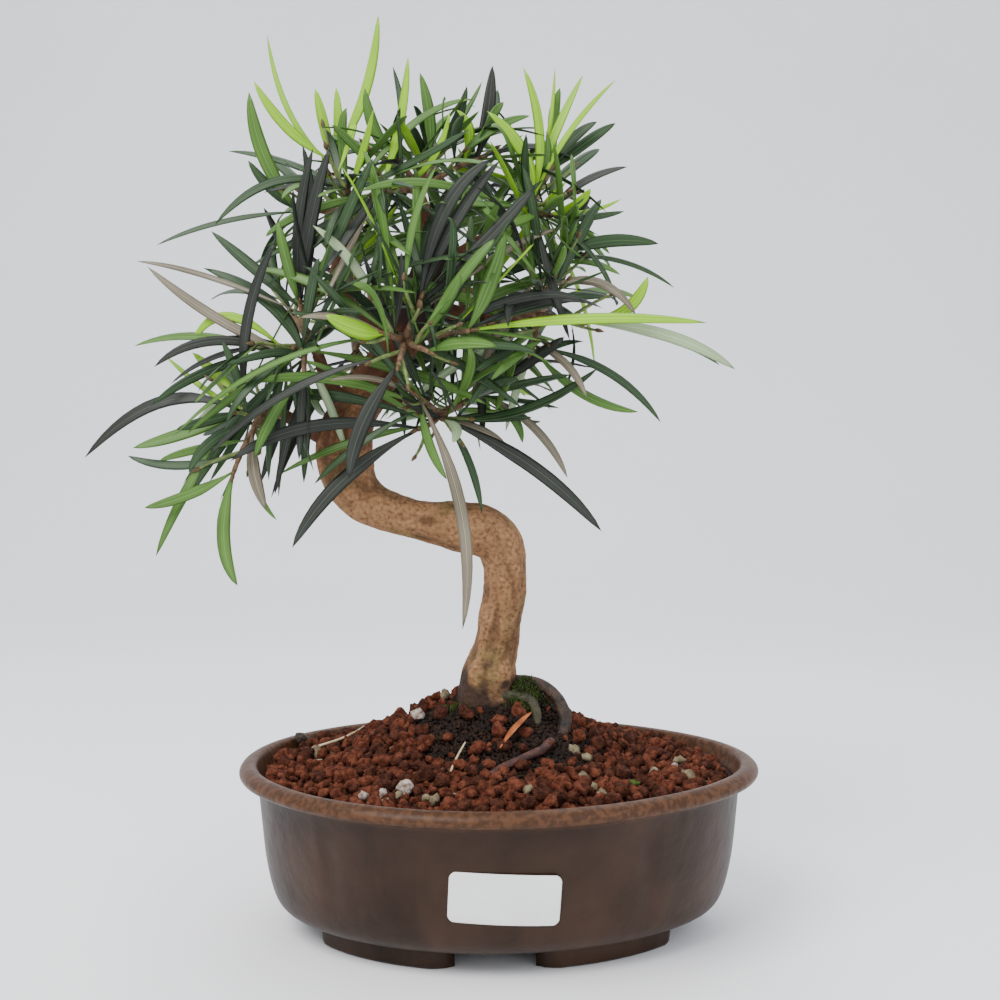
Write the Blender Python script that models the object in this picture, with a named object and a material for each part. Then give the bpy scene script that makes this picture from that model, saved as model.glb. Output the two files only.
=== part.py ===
"""A podocarpus bonsai in an oval glazed pot.

Metres, Z up, the front faces -Y. The tables of limbs and shoots are in millimetres,
measured from the ground under the middle of the pot, and MM turns them into metres.
"""
import math
import random
from typing import NamedTuple

import bpy
from mathutils import Vector
from mathutils.bvhtree import BVHTree

MM = 0.001
GAP = 0.3
ORIGIN_SHIFT = 25.8

# The pot, in millimetres
POT_SIDES = 44
POT_CENTRE = 2.4
PLAN_SQUARE = 0.0055
PLAN_EGG = 0.012
WALL_OUTSIDE = (
    (7.5, 76.0, 51.0), (8.4, 82.0, 57.0), (12.0, 88.0, 62.5), (19.0, 91.2, 66.5), (31.0, 93.6, 70.5),
    (46.0, 95.2, 74.0), (60.0, 96.6, 77.0), (61.2, 101.4, 81.6), (63.4, 103.8, 84.4), (66.4, 102.6, 83.2),
    (67.7, 99.8, 80.6),
)
WALL_INSIDE = ((66.8, 97.0, 77.8), (57.0, 91.0, 71.6), (22.0, 84.0, 60.0), (14.0, 76.0, 51.0))
FOOT_HEIGHT = 9.0
FOOT_WIDTH = 11.0
FOOT_OUTSIDE = (78.0, 53.5)
FOOT_SPAN = (27.0, 76.0)
FOOT_STEPS = 6

# The soil, in millimetres
GROUND = 88.5
MOUND_CENTRE = (-1.0, 8.0)
PLATEAU = 16.5
SOIL_EDGE = 64.5
MOUND_SPREAD = 30.0
MOUND_POWER = 1.6
SOIL_RINGS = (0.14, 0.30, 0.50, 0.74, 1.0)

# The trunk and its two bare roots: x, y, z and radius down the middle line
TRUNK_SIDES = 12
TRUNK = (
    (-1.0, 8.0, 88.5, 13.2), (-0.9, 8.0, 93.4, 12.3), (-0.1, 7.0, 101.0, 11.0), (2.4, 6.0, 111.1, 9.2),
    (4.4, 5.0, 123.6, 8.8), (6.0, 4.0, 135.2, 8.6), (6.2, 3.0, 145.9, 8.7), (3.6, 2.0, 154.5, 9.5),
    (-3.3, 1.0, 159.9, 10.1), (-12.2, 0.0, 161.2, 10.1), (-26.3, -1.0, 163.6, 8.3), (-38.3, -2.0, 166.5, 8.0),
    (-49.0, -3.0, 171.0, 9.0), (-55.3, -4.0, 177.9, 10.2), (-58.1, -4.0, 186.3, 11.0), (-58.2, -3.0, 196.3, 10.6),
    (-55.6, -1.0, 206.4, 9.5), (-50.1, 1.0, 215.7, 8.9), (-43.0, 3.0, 225.5, 8.3), (-35.8, 5.0, 237.7, 7.7),
    (-29.7, 6.0, 251.2, 7.6), (-24.5, 7.0, 263.5, 8.0), (-21.3, 8.0, 272.9, 7.2), (-20.4, 8.2, 276.4, 4.6),
)
FLARE_LOBES = 5
FLARE_DEPTH = 0.09
ROOTS = {
    "root_outer": ((6.0, 9.0, 96.0, 3.2), (12.0, 7.0, 97.2, 2.9), (20.2, 2.0, 96.8, 2.6), (26.6, -2.0, 92.6, 2.4),
                   (30.1, -6.0, 85.8, 2.3), (28.6, -10.0, 78.6, 2.1), (24.0, -15.0, 70.0, 1.9)),
    "root_inner": ((5.0, -1.0, 92.5, 2.6), (11.5, -3.0, 92.8, 2.2), (16.5, -6.0, 91.4, 2.0), (18.8, -9.0, 86.4, 1.8),
                   (18.0, -12.5, 79.4, 1.7), (16.6, -18.0, 70.0, 1.5)),
}
ROOT_SIDES = 7
BOUGH_SIDES = 7

# The leaves, in millimetres
LEAF_WIDTH = 5.3
LEAF_SLENDER = 80.0
LEAF_THINNEST = 0.62
FILL_LENGTH = 52.0
FILL_SHORTEST = 24.0
FILL_DROOP = 0.12
TWIG_RADIUS = 1.5
TWIG_END = 0.8
GOLDEN = math.radians(137.5)
CROWN_CENTRE = Vector((-22.0, 1.0, 258.0))
CROWN_REACH = Vector((75.0, 83.0, 65.0))
CLEARANCE = 0.4
ROOT_OUT = 0.25
VIEWER = Vector((0.0, -1.0, 0.35))


class Shoot(NamedTuple):
    """A leafy twig: where it ends, how many leaves fill it, and its long leaves.

    A long leaf is the x, y and z of its tip, how far its middle bows in x and z, and its width.
    """
    tip: tuple
    fill: int
    long_leaves: tuple = ()


class Limb(NamedTuple):
    """A bough from the trunk's middle line to its tip, and the shoots of the mass that grows on."""
    path: tuple
    radii: tuple
    shoots: tuple


LIMBS = {
    "lower_left": Limb(
        path=((-62, -4, 195), (-72, -8, 200), (-81, -12, 206)),
        radii=(3.4, 2.3),
        shoots=(
            Shoot((-97, -17, 207), 6, (
                (-160, -12, 189, 0, 13, 1.1),
                (-120, -27, 200, 0, 0, 0.9),
                (-138, -22, 193, 0, -1, 1.1),
                (-129, -24, 151, -2, 3, 1.0),
                (-118, -8, 231, 2, 0, 1.0),
                (-130, -2, 230, 0, -2, 0.5),
                (-79, -40, 270, -5, 2, 1.0),
            )),
            Shoot((-98, -28, 183), 5, (
                (-133, -25, 170, 0, -2, 0.9),
                (-95, -36, 141, -5, -3, 1.1),
                (-142, -15, 190, -2, -4, 0.8),
            )),
            Shoot((-90, -30, 199), 5, (
                (-84, -36, 170, -2, -1, 1.0),
                (-82, -24, 165, -5, -1, 0.6),
            )),
            Shoot((-96, 22, 214), 7, (
                (-129, 62, 228, -3, 4, 1.0),
            )),
        ),
    ),
    "left": Limb(
        path=((-56, -2, 208), (-64, -6, 219), (-68, -10, 230)),
        radii=(3.2, 2.2),
        shoots=(
            Shoot((-79, -20, 227), 6, (
                (-140, -12, 233, -2, 6, 1.0),
                (-129, -24, 224, -3, 8, 0.8),
                (-117, -14, 233, -4, 13, 0.8),
            )),
            Shoot((-72, -28, 248), 6, (
                (-66, -34, 305, -3, 0, 0.9),
                (-59, -38, 305, -2, 0, 1.1),
                (-108, -18, 277, 1, -1, 1.0),
                (-142, 0, 268, -4, 4, 0.5),
            )),
            Shoot((-71, -26, 221), 7, (
                (-113, -10, 264, 8, 3, 1.2),
                (-134, -14, 264, -2, -3, 0.9),
            )),
            Shoot((-88, 28, 256), 7, (
                (-129, 74, 261, -3, 4, 1.0),
            )),
        ),
    ),
    "upper_left": Limb(
        path=((-38, 5, 232), (-61, -2, 258), (-55, -6, 277)),
        radii=(3.0, 1.9),
        shoots=(
            Shoot((-55, -16, 294), 7, (
                (-106, -20, 279, -2, 10, 0.8),
                (-106, 5, 313, 0, 3, 0.9),
            )),
            Shoot((-64, 0, 309), 5, (
                (-94, -2, 339, -2, -3, 0.9),
                (-90, 6, 360, -4, -6, 0.5),
                (-69, -6, 335, 0, 0, 0.9),
                (-61, -4, 336, 1, 0, 0.8),
                (-44, -6, 364, 4, -3, 0.9),
            )),
            Shoot((-76, -6, 286), 6, (
                (-94, -12, 332, -4, -2, 1.2),
                (-95, -10, 306, -1, -2, 0.9),
                (-132, -8, 273, -2, 3, 0.6),
            )),
            Shoot((-71, 30, 296), 7, (
                (-104, 70, 328, -3, 3, 1.0),
            )),
        ),
    ),
    "top": Limb(
        path=((-24, 8, 266), (-24, 6, 278), (-27, 3, 288)),
        radii=(3.4, 2.2),
        shoots=(
            Shoot((-45, -20, 291), 6, (
                (-31, -24, 342, 2, -2, 0.9),
                (-15, -26, 321, 4, -5, 0.7),
            )),
            Shoot((-38, -6, 309), 6, (
                (-49, -10, 334, -2, -3, 1.0),
                (-39, 2, 346, 3, -2, 0.6),
            )),
            Shoot((-24, 0, 311), 7, (
                (-28, 0, 343, 2, -2, 1.0),
                (-9, -6, 336, 2, -3, 0.9),
                (-3, -2, 339, 1, -2, 0.6),
            )),
            Shoot((-4, -8, 307), 5, (
                (1, -6, 344, 1, -2, 1.1),
                (3, 6, 338, 2, 0, 1.0),
                (-13, -12, 325, 4, 2, 0.9),
            )),
            Shoot((-22, 34, 314), 7, (
                (-27, 62, 349, -2, 0, 1.0),
            )),
        ),
    ),
    "upper_right": Limb(
        path=((-20, 8, 266), (-8, 4, 274), (4, 0, 280)),
        radii=(3.4, 2.2),
        shoots=(
            Shoot((16, -12, 288), 6, (
                (13, -14, 341, 5, 0, 0.8),
                (-1, -22, 322, 6, 1, 1.1),
                (26, 2, 346, 2, -2, 0.4),
                (37, -4, 341, -2, -1, 0.8),
                (50, -4, 339, -3, 2, 0.5),
            )),
            Shoot((27, 6, 310), 6, (
                (28, 0, 337, -2, 0, 1.0),
                (20, 2, 320, -2, 0, 0.9),
                (43, 2, 324, -1, 2, 1.0),
                (51, 8, 325, 0, 1, 1.0),
            )),
            Shoot((23, -8, 285), 6, (
                (54, -12, 303, -2, 3, 1.0),
                (39, -20, 293, 2, -2, 0.9),
                (54, 0, 288, -1, -2, 0.8),
                (53, 6, 294, 2, -2, 0.4),
            )),
            Shoot((21, 36, 301), 7, (
                (49, 66, 328, 2, 3, 1.0),
            )),
        ),
    ),
    "right": Limb(
        path=((-27, 7, 253), (-8, 2, 246), (10, -4, 245)),
        radii=(3.6, 2.3),
        shoots=(
            Shoot((29, -6, 273), 6, (
                (75, 6, 258, 2, 4, 0.6),
                (67, -6, 274, -1, 3, 1.1),
                (52, -4, 262, 0, 3, 0.7),
            )),
            Shoot((35, -14, 242), 6, (
                (61, -22, 259, 4, -5, 1.3),
                (82, -34, 240, 3, 7, 1.0),
                (97, -10, 224, 4, 4, 1.1),
                (93, 0, 226, 5, 3, 0.5),
            )),
            Shoot((16, -22, 230), 6, (
                (68, -8, 203, 4, 5, 0.8),
                (58, -18, 207, -2, -5, 1.0),
                (37, -30, 212, 2, 3, 0.7),
            )),
            Shoot((20, -16, 256), 6, (
                (56, -28, 243, 3, 8, 0.8),
            )),
            Shoot((30, 36, 259), 7, (
                (68, 72, 261, 3, 3, 1.0),
            )),
        ),
    ),
    "lower_right": Limb(
        path=((-48, 1, 216), (-35, -4, 211), (-25, -9, 207)),
        radii=(3.4, 2.2),
        shoots=(
            Shoot((-18, -20, 204), 6, (
                (42, -24, 224, 2, -6, 1.0),
                (43, -28, 161, 4, 3, 1.2),
                (6, -16, 195, 0, 1, 0.9),
                (-3, -22, 168, 2, 2, 0.8),
                (-14, -32, 195, 3, 1, 0.9),
            )),
            Shoot((-29, -32, 214), 5, (
                (-10, -42, 125, 8, 0, 1.0),
                (-16, -34, 181, -2, -1, 0.8),
            )),
            Shoot((-28, -22, 200), 5, (
                (-75, -32, 155, -5, 3, 1.2),
                (-97, -38, 188, -5, 7, 1.1),
            )),
            Shoot((-2, -4, 217), 6, (
                (31, -6, 181, 4, 3, 0.8),
                (13, -4, 195, 4, 2, 0.8),
            )),
            Shoot((-16, 30, 213), 7, (
                (-5, 70, 192, 2, 3, 1.0),
            )),
        ),
    ),
    "front": Limb(
        path=((-36, 5, 237), (-35, -10, 236), (-34, -26, 234)),
        radii=(3.4, 2.4),
        shoots=(
            Shoot((-39, -46, 235), 6, (
                (-58, -62, 240, 1, -2, 1.4),
            )),
            Shoot((-33, -50, 223), 6, (
                (-50, -60, 182, -4, -1, 1.2),
            )),
            Shoot((-22, -48, 228), 6, (
                (3, -60, 229, -1, 2, 1.5),
            )),
            Shoot((-25, -48, 247), 6, (
                (1, -52, 297, -4, 7, 1.1),
                (17, -50, 288, 1, -1, 1.1),
                (4, -50, 297, -2, 3, 1.0),
            )),
            Shoot((-7, -46, 236), 6, (
                (6, -54, 270, 1, -1, 1.2),
            )),
        ),
    ),
    "back_left": Limb(
        path=((-37, 5, 235), (-45, 22, 243), (-51, 34, 249)),
        radii=(3.2, 2.2),
        shoots=(
            Shoot((-63, 58, 281), 7),
            Shoot((-76, 60, 246), 7),
            Shoot((-63, 54, 218), 7),
            Shoot((-45, 66, 265), 7, (
                (-51, 80, 285, 0, 5, 1.0),
            )),
        ),
    ),
    "back_right": Limb(
        path=((-32, 6, 246), (-23, 24, 253), (-17, 36, 258)),
        radii=(3.2, 2.2),
        shoots=(
            Shoot((-9, 58, 295), 7),
            Shoot((8, 60, 260), 7),
            Shoot((-9, 56, 227), 7),
            Shoot((-31, 54, 307), 7),
        ),
    ),
}


def clear_scene():
    """Empties the file of everything it opened with."""
    for obj in list(bpy.data.objects):
        bpy.data.objects.remove(obj, do_unlink=True)


def material(name, colour, roughness):
    """A plain material of one colour."""
    mat = bpy.data.materials.new(name)
    mat.use_nodes = True
    shader = mat.node_tree.nodes["Principled BSDF"]
    shader.inputs["Base Color"].default_value = (*colour, 1.0)
    shader.inputs["Roughness"].default_value = roughness
    mat.diffuse_color = (*colour, 1.0)
    return mat


def solid(name, points, faces, mat=None, smooth=False):
    """An object from points in millimetres, with its faces turned outwards."""
    mesh = bpy.data.meshes.new(name)
    shifted = [((x + ORIGIN_SHIFT) * MM, y * MM, z * MM) for x, y, z in points]
    mesh.from_pydata(shifted, [], faces)
    if smooth:
        mesh.shade_smooth()
    if mat:
        mesh.materials.append(mat)
    obj = bpy.data.objects.new(name, mesh)
    bpy.context.scene.collection.objects.link(obj)
    return obj


def boolean(base, tools, operation, solver="EXACT"):
    """Joins or cuts base with the tools, keeps the result in base and removes the tools."""
    group = bpy.data.collections.new(base.name + "_tools")
    bpy.context.scene.collection.children.link(group)
    for tool in tools:
        for user in list(tool.users_collection):
            user.objects.unlink(tool)
        group.objects.link(tool)
    change = base.modifiers.new(operation.lower(), "BOOLEAN")
    change.operation = operation
    change.solver = solver
    change.operand_type = "COLLECTION"
    change.collection = group
    graph = bpy.context.evaluated_depsgraph_get()
    made = bpy.data.meshes.new_from_object(base.evaluated_get(graph))
    base.modifiers.remove(change)
    mats = [slot.material for slot in base.material_slots]
    old = base.data
    base.data = made
    made.name = base.name
    bpy.data.meshes.remove(old)
    made.materials.clear()
    for mat in mats:
        made.materials.append(mat)
    for polygon in made.polygons:
        polygon.material_index = 0
    for tool in tools:
        bpy.data.objects.remove(tool, do_unlink=True)
    bpy.data.collections.remove(group)


def ring_faces(rings, sides, first_cap=True, last_cap=True):
    """The faces of a closed tube of rings, each ring going round the same way."""
    faces = []
    for r in range(rings - 1):
        for i in range(sides):
            j = (i + 1) % sides
            faces.append((r * sides + i, r * sides + j, (r + 1) * sides + j, (r + 1) * sides + i))
    if first_cap:
        faces.append(tuple(range(sides - 1, -1, -1)))
    if last_cap:
        faces.append(tuple((rings - 1) * sides + i for i in range(sides)))
    return faces


def plan(angle, half_width, half_depth):
    """A point of the pot's plan: an ellipse, a little squared and a little egg-shaped."""
    reach = 1.0 + PLAN_SQUARE * math.cos(4 * angle) + PLAN_EGG * math.cos(3 * angle)
    return POT_CENTRE + half_width * reach * math.cos(angle), half_depth * reach * math.sin(angle)


def plan_ring(z, half_width, half_depth):
    """One level ring of the pot."""
    turn = 2 * math.pi / POT_SIDES
    return [(*plan(i * turn, half_width, half_depth), z) for i in range(POT_SIDES)]


def make_pot(mat):
    """The pot: one wall from the underside over the rolled lip to the floor, on four feet."""
    points = []
    for row in WALL_OUTSIDE + WALL_INSIDE:
        points += plan_ring(*row)
    rings = len(WALL_OUTSIDE) + len(WALL_INSIDE)
    pot = solid("pot", points, ring_faces(rings, POT_SIDES), mat, smooth=True)
    start, end = FOOT_SPAN
    feet = []
    for corner in range(4):
        side = 1 if corner % 2 == 0 else -1
        base = 180 * (corner // 2)
        angles = []
        for step in range(FOOT_STEPS + 1):
            degrees = start + (end - start) * step / FOOT_STEPS
            angles.append(math.radians(base + degrees if side == 1 else base + 180 - degrees))
        if side == -1:
            angles.reverse()
        feet.append(make_foot(angles))
    boolean(pot, feet, "UNION")
    return pot


def make_foot(angles):
    """One curved foot that follows the pot's plan between the first and last of the angles."""
    half_width, half_depth = FOOT_OUTSIDE
    points = []
    for angle in angles:
        for inset, z in ((0.0, 0.0), (-1.5, FOOT_HEIGHT), (FOOT_WIDTH, FOOT_HEIGHT), (FOOT_WIDTH, 0.0)):
            points.append((*plan(angle, half_width - inset, half_depth - inset), z))
    faces = []
    for step in range(len(angles) - 1):
        for i in range(4):
            j = (i + 1) % 4
            faces.append((step * 4 + i, step * 4 + j, step * 4 + 4 + j, step * 4 + 4 + i))
    faces.append((3, 2, 1, 0))
    last = (len(angles) - 1) * 4
    faces.append((last, last + 1, last + 2, last + 3))
    return solid("foot", points, [face[::-1] for face in faces])


def mound(x, y):
    """The height of the soil: level near the pot, raised to a flat top under the trunk."""
    out = math.hypot(x - MOUND_CENTRE[0], y - MOUND_CENTRE[1])
    top = GROUND - GAP
    if out <= PLATEAU:
        return top
    fall = math.exp(-((out - PLATEAU) / MOUND_SPREAD) ** MOUND_POWER)
    level = SOIL_EDGE - 2.0 * (abs(x - POT_CENTRE) / 95.0) ** 4
    return level + (top - level) * fall


def soil_edge(angle):
    """Where the top of the soil meets the inside of the wall, a gap short of it."""
    z_high, width_high, depth_high = WALL_INSIDE[0]
    z_low, width_low, depth_low = WALL_INSIDE[1]
    height = SOIL_EDGE
    for _ in range(3):
        share = (height - z_low) / (z_high - z_low)
        half_width = width_low + (width_high - width_low) * share - 2 * GAP
        half_depth = depth_low + (depth_high - depth_low) * share - 2 * GAP
        x, y = plan(angle, half_width, half_depth)
        height = mound(x, y)
    return x, y


def soil_points(raised):
    """The soil's points from its underside to the middle of its top, raised at the top."""
    points = []
    inner = [(z, half_width - GAP, half_depth - GAP) for z, half_width, half_depth in reversed(WALL_INSIDE[1:])]
    inner[0] = (inner[0][0] + GAP, inner[0][1] - GAP, inner[0][2] - GAP)
    for row in inner:
        points += plan_ring(*row)
    turn = 2 * math.pi / POT_SIDES
    for part in reversed(SOIL_RINGS):
        for i in range(POT_SIDES):
            rim_x, rim_y = soil_edge(i * turn)
            near_x = MOUND_CENTRE[0] + PLATEAU * math.cos(i * turn)
            near_y = MOUND_CENTRE[1] + PLATEAU * math.sin(i * turn)
            blend = (part - SOIL_RINGS[0]) / (1.0 - SOIL_RINGS[0])
            x = near_x + (rim_x - near_x) * blend
            y = near_y + (rim_y - near_y) * blend
            points.append((x, y, mound(x, y) + raised))
    return points


def make_soil(name, mat=None, raised=0.0):
    """The soil that fills the pot, clear of its wall, under a raised mound."""
    points = soil_points(raised)
    return solid(name, points, ring_faces(len(points) // POT_SIDES, POT_SIDES), mat)


def frames(nodes):
    """A frame that turns as little as it can, at each point of a middle line."""
    middles = [Vector(node[:3]) for node in nodes]
    tangents = []
    for i in range(len(middles)):
        ahead = middles[min(i + 1, len(middles) - 1)]
        behind = middles[max(i - 1, 0)]
        tangents.append((ahead - behind).normalized())
    side = tangents[0].orthogonal().normalized()
    out = []
    for middle, tangent in zip(middles, tangents):
        side = (side - tangent * side.dot(tangent)).normalized()
        out.append((middle, tangent, side, tangent.cross(side)))
    return out


def tube(name, nodes, sides, mat=None, swell=0.0, lobes=False):
    """A tapering limb through nodes of x, y, z and radius, with flat ends."""
    rows = frames(nodes)
    if lobes:
        side = (rows[0][2] * Vector((1, 1, 0))).normalized()
        rows[0] = (rows[0][0], Vector((0, 0, 1)), side, Vector((0, 0, 1)).cross(side))
    rows[-1] = (rows[-1][0] + rows[-1][1] * swell, *rows[-1][1:])
    points = []
    for index, (middle, _, side, other) in enumerate(rows):
        fade = max(0.0, 1.0 - index / 3.0) if lobes else 0.0
        for i in range(sides):
            angle = 2 * math.pi * i / sides
            radius = nodes[index][3] + swell
            radius *= 1.0 + FLARE_DEPTH * fade * math.cos(FLARE_LOBES * angle)
            points.append(tuple(middle + (side * math.cos(angle) + other * math.sin(angle)) * radius))
    return solid(name, points, ring_faces(len(rows), sides), mat, smooth=mat is not None)


def make_trunk(name, mat=None, swell=0.0):
    """The trunk from its flat foot on the mound to the old cut at its top."""
    return tube(name, TRUNK, TRUNK_SIDES, mat, swell, lobes=True)


def make_limb(name, nodes, sides, mat, cutters):
    """A root or bough, trimmed so that it stops a gap short of what it grows from."""
    limb = tube(name, nodes, sides, mat)
    boolean(limb, cutters, "DIFFERENCE")
    return limb


def along(start, bend, end, part):
    """A point of a curve from start to end that is drawn towards bend."""
    return start * (1 - part) ** 2 + bend * (2 * part * (1 - part)) + end * part ** 2


class Piece(NamedTuple):
    """A twig or leaf before it is joined: its points, faces and the box around it."""
    points: list
    faces: list
    low: Vector
    high: Vector
    tree: BVHTree


def piece(points, faces):
    """A piece from points and faces, ready to be tested against others."""
    low = Vector([min(point[axis] for point in points) for axis in range(3)])
    high = Vector([max(point[axis] for point in points) for axis in range(3)])
    return Piece(points, faces, low, high, BVHTree.FromPolygons(points, faces))


def touches(one, others):
    """Whether a piece meets any of the others."""
    for other in others:
        apart = any(one.low[axis] > other.high[axis] or other.low[axis] > one.high[axis] for axis in range(3))
        if not apart and one.tree.overlap(other.tree):
            return True
    return False


def blade(curve, width, length, face, rings, grow=0.0):
    """A leaf of three-sided section along a curve, from its root to a point."""
    thick = max(length / LEAF_SLENDER, LEAF_THINNEST)
    points = []
    for part, share in rings:
        middle = along(*curve, part)
        tangent = (along(*curve, min(part + 0.02, 1.0)) - along(*curve, max(part - 0.02, 0.0))).normalized()
        side = tangent.cross(face)
        if side.length < 0.15:
            side = tangent.cross(Vector((1.0, 0.2, 0.1)))
        side.normalize()
        up = side.cross(tangent)
        half = width * share / 2 + grow
        points.append(middle + side * half + up * (thick / 3 + grow * 0.8))
        points.append(middle - up * (thick * 2 / 3 + grow))
        points.append(middle - side * half + up * (thick / 3 + grow * 0.8))
    faces = ring_faces(len(rings), 3, last_cap=False)
    points.append(along(*curve, 1.0))
    tip = len(points) - 1
    for i in range(3):
        faces.append((tip - 3 + i, tip - 3 + (i + 1) % 3, tip))
    return points, faces


LONG_RINGS = ((0.0, 0.2), (0.26, 0.92), (0.52, 1.0), (0.80, 0.66))
LONG_OUTER = ((0.09, 0.45), (0.26, 0.92), (0.52, 1.0), (0.80, 0.66))
FILL_RINGS = ((0.0, 0.22), (0.34, 1.0), (0.74, 0.80))
FILL_OUTER = ((0.11, 0.47), (0.34, 1.0), (0.74, 0.80))


def twig(nodes):
    """A three-sided twig through nodes of middle and radius, ending in a bud."""
    rows = frames([(*middle, radius) for middle, radius in nodes])
    points = []
    for (middle, _, side, other), (_, radius) in zip(rows, nodes):
        for i in range(3):
            angle = 2 * math.pi * i / 3
            points.append(middle + (side * math.cos(angle) + other * math.sin(angle)) * radius)
    points.append(rows[-1][0] + rows[-1][1] * nodes[-1][1] * 2)
    faces = ring_faces(len(nodes), 3, last_cap=False)
    tip = len(points) - 1
    for i in range(3):
        faces.append((tip - 3 + i, tip - 3 + (i + 1) % 3, tip))
    return points, faces


def in_crown(point):
    """Whether a point is inside the rounded body of the crown."""
    out = point - CROWN_CENTRE
    return sum((out[axis] / CROWN_REACH[axis]) ** 2 for axis in range(3)) <= 1.0


def fill_leaf(rng, curve, place, share, phase):
    """A leaf that fills a shoot: its curve, length and the way it faces, or None outside the crown."""
    root = along(*curve, place)
    axis = (along(*curve, min(place + 0.1, 1.0)) - along(*curve, place - 0.1)).normalized()
    side = axis.orthogonal().normalized()
    other = axis.cross(side)
    pitch = math.radians(76 - 46 * share + rng.uniform(-8, 8))
    out = side * math.cos(phase) + other * math.sin(phase)
    heading = axis * math.cos(pitch) + out * math.sin(pitch)
    root += heading * ROOT_OUT
    length = FILL_LENGTH * (1.08 - 0.34 * share) * rng.uniform(0.84, 1.14)
    while length > FILL_SHORTEST:
        droop = Vector((0.0, 0.0, -FILL_DROOP * length * (length / FILL_LENGTH)))
        tip = root + heading * length + droop
        if in_crown(tip):
            bend = root + heading * length * 0.55
            return (root, bend, tip), length, (axis + Vector((0.0, 0.0, 0.4))).normalized()
        length *= 0.86
    return None


def grow_skeleton(limb):
    """The stem and twigs of one mass: their pieces and the curve of each shoot."""
    before, tip = Vector(limb.path[-2]), Vector(limb.path[-1])
    heading = (tip - before).normalized()
    ends = [Vector(shoot.tip) for shoot in limb.shoots]
    middle = sum(ends, Vector()) / len(ends)
    start = tip + heading * GAP
    hub = tip + heading * 4.0 + (middle - tip) * 0.22
    thick = limb.radii[1] * 0.9
    parts = [twig([(start, thick), (start + heading * 2.0, thick), (hub, TWIG_RADIUS * 1.1)])]
    curves = []
    for end in ends:
        bend = hub + (end - hub) * 0.5 + heading * 3.0
        curve = (hub, bend, end)
        curves.append(curve)
        nodes = [(hub - (bend - hub).normalized() * 0.8, TWIG_RADIUS)]
        nodes += [(along(*curve, part), TWIG_RADIUS + (TWIG_END - TWIG_RADIUS) * part) for part in (0.5, 1.0)]
        parts.append(twig(nodes))
    return parts, curves


def nearest_place(curve, tip):
    """How far along a shoot a long leaf starts: near its end, or lower for one that turns back."""
    axis = (curve[2] - curve[0]).normalized()
    forward = (tip - curve[2]).normalized().dot(axis)
    return 0.96 if forward > 0.2 else 0.86 if forward > -0.4 else 0.72


class Crown:
    """The masses as they grow: a leaf joins one only where it has room."""

    def __init__(self, limbs_made):
        self.limbs = limbs_made
        self.masses = {}
        self.curves = {}
        self.grown = {}
        for name, limb in LIMBS.items():
            parts, self.curves[name] = grow_skeleton(limb)
            self.masses[name] = [piece(*part) for part in parts]
            self.grown[name] = [piece(*part) for part in parts]

    def has_room(self, name, curve, width, length, face, rings, outer):
        """Whether a leaf keeps clear of limbs, of other masses and of its own mass past its root."""
        wide = piece(*blade(curve, width, length, face, rings, grow=CLEARANCE))
        if touches(wide, self.limbs):
            return False
        if any(touches(wide, self.masses[other]) for other in self.masses if other != name):
            return False
        return not touches(piece(*blade(curve, width, length, face, outer, grow=0.1)), self.grown[name])

    def add(self, name, curve, width, length, face, rings, outer):
        """Adds a leaf to a mass, and its outer part to what the next leaves keep clear of."""
        self.masses[name].append(piece(*blade(curve, width, length, face, rings)))
        self.grown[name].append(piece(*blade(curve, width, length, face, outer)))

    def grow_long(self, name, curve, number, row):
        """Grows one of a shoot's long leaves, from the first place along the shoot with room."""
        x, y, z, bow_x, bow_z, width = row
        tip = Vector((x, y, z))
        place = nearest_place(curve, tip)
        for step in (0.07 * (number % 4), 0.0, 0.12, 0.2, 0.28, 0.36, 0.44):
            root = along(*curve, place - step)
            root += (tip - root).normalized() * ROOT_OUT
            bend = (root + tip) / 2 + Vector((bow_x, 0.0, bow_z)) * 2
            leaf = ((root, bend, tip), LEAF_WIDTH * width, (tip - root).length, VIEWER)
            if self.has_room(name, *leaf, LONG_RINGS, LONG_OUTER):
                self.add(name, *leaf, LONG_RINGS, LONG_OUTER)
                return True
        return False

    def grow_fill(self, name, rng, curve, share, phase):
        """Grows one of the leaves that fill a shoot, turned or shortened until it has room."""
        for turn in (0.0, 0.8, -0.8, 1.6, -1.6):
            grown = fill_leaf(rng, curve, 0.40 + 0.58 * share, share, phase + turn)
            if not grown:
                continue
            leaf_curve, length, face = grown
            leaf = (leaf_curve, LEAF_WIDTH * 0.95, length, face)
            if self.has_room(name, *leaf, FILL_RINGS, FILL_OUTER):
                self.add(name, *leaf, FILL_RINGS, FILL_OUTER)
                return True
        return False


def grow_masses(limbs_made):
    """Every mass's twigs and leaves, the long leaves first."""
    crown = Crown(limbs_made)
    long_count = 0
    fill_count = 0
    for name, limb in LIMBS.items():
        for shoot, curve in zip(limb.shoots, crown.curves[name]):
            for number, row in enumerate(shoot.long_leaves):
                grown = crown.grow_long(name, curve, number, row)
                long_count += grown
                if not grown:
                    print("no room for a long leaf of", name, row[:3])
    for name, limb in LIMBS.items():
        rng = random.Random("fill " + name)
        for shoot, curve in zip(limb.shoots, crown.curves[name]):
            phase = rng.uniform(0, 2 * math.pi)
            for number in range(shoot.fill):
                fill_count += crown.grow_fill(name, rng, curve, (number + 0.5) / shoot.fill, phase)
                phase += GOLDEN
    print("long leaves", long_count, "fill leaves", fill_count)
    return crown.masses


def make_mass(name, pieces, mat):
    """One mass joined from its stem, twigs and leaves."""
    base = solid("mass_" + name, pieces[0].points, pieces[0].faces, mat)
    others = [solid("grown", part.points, part.faces) for part in pieces[1:]]
    boolean(base, others, "UNION", "MANIFOLD")
    return base


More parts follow.
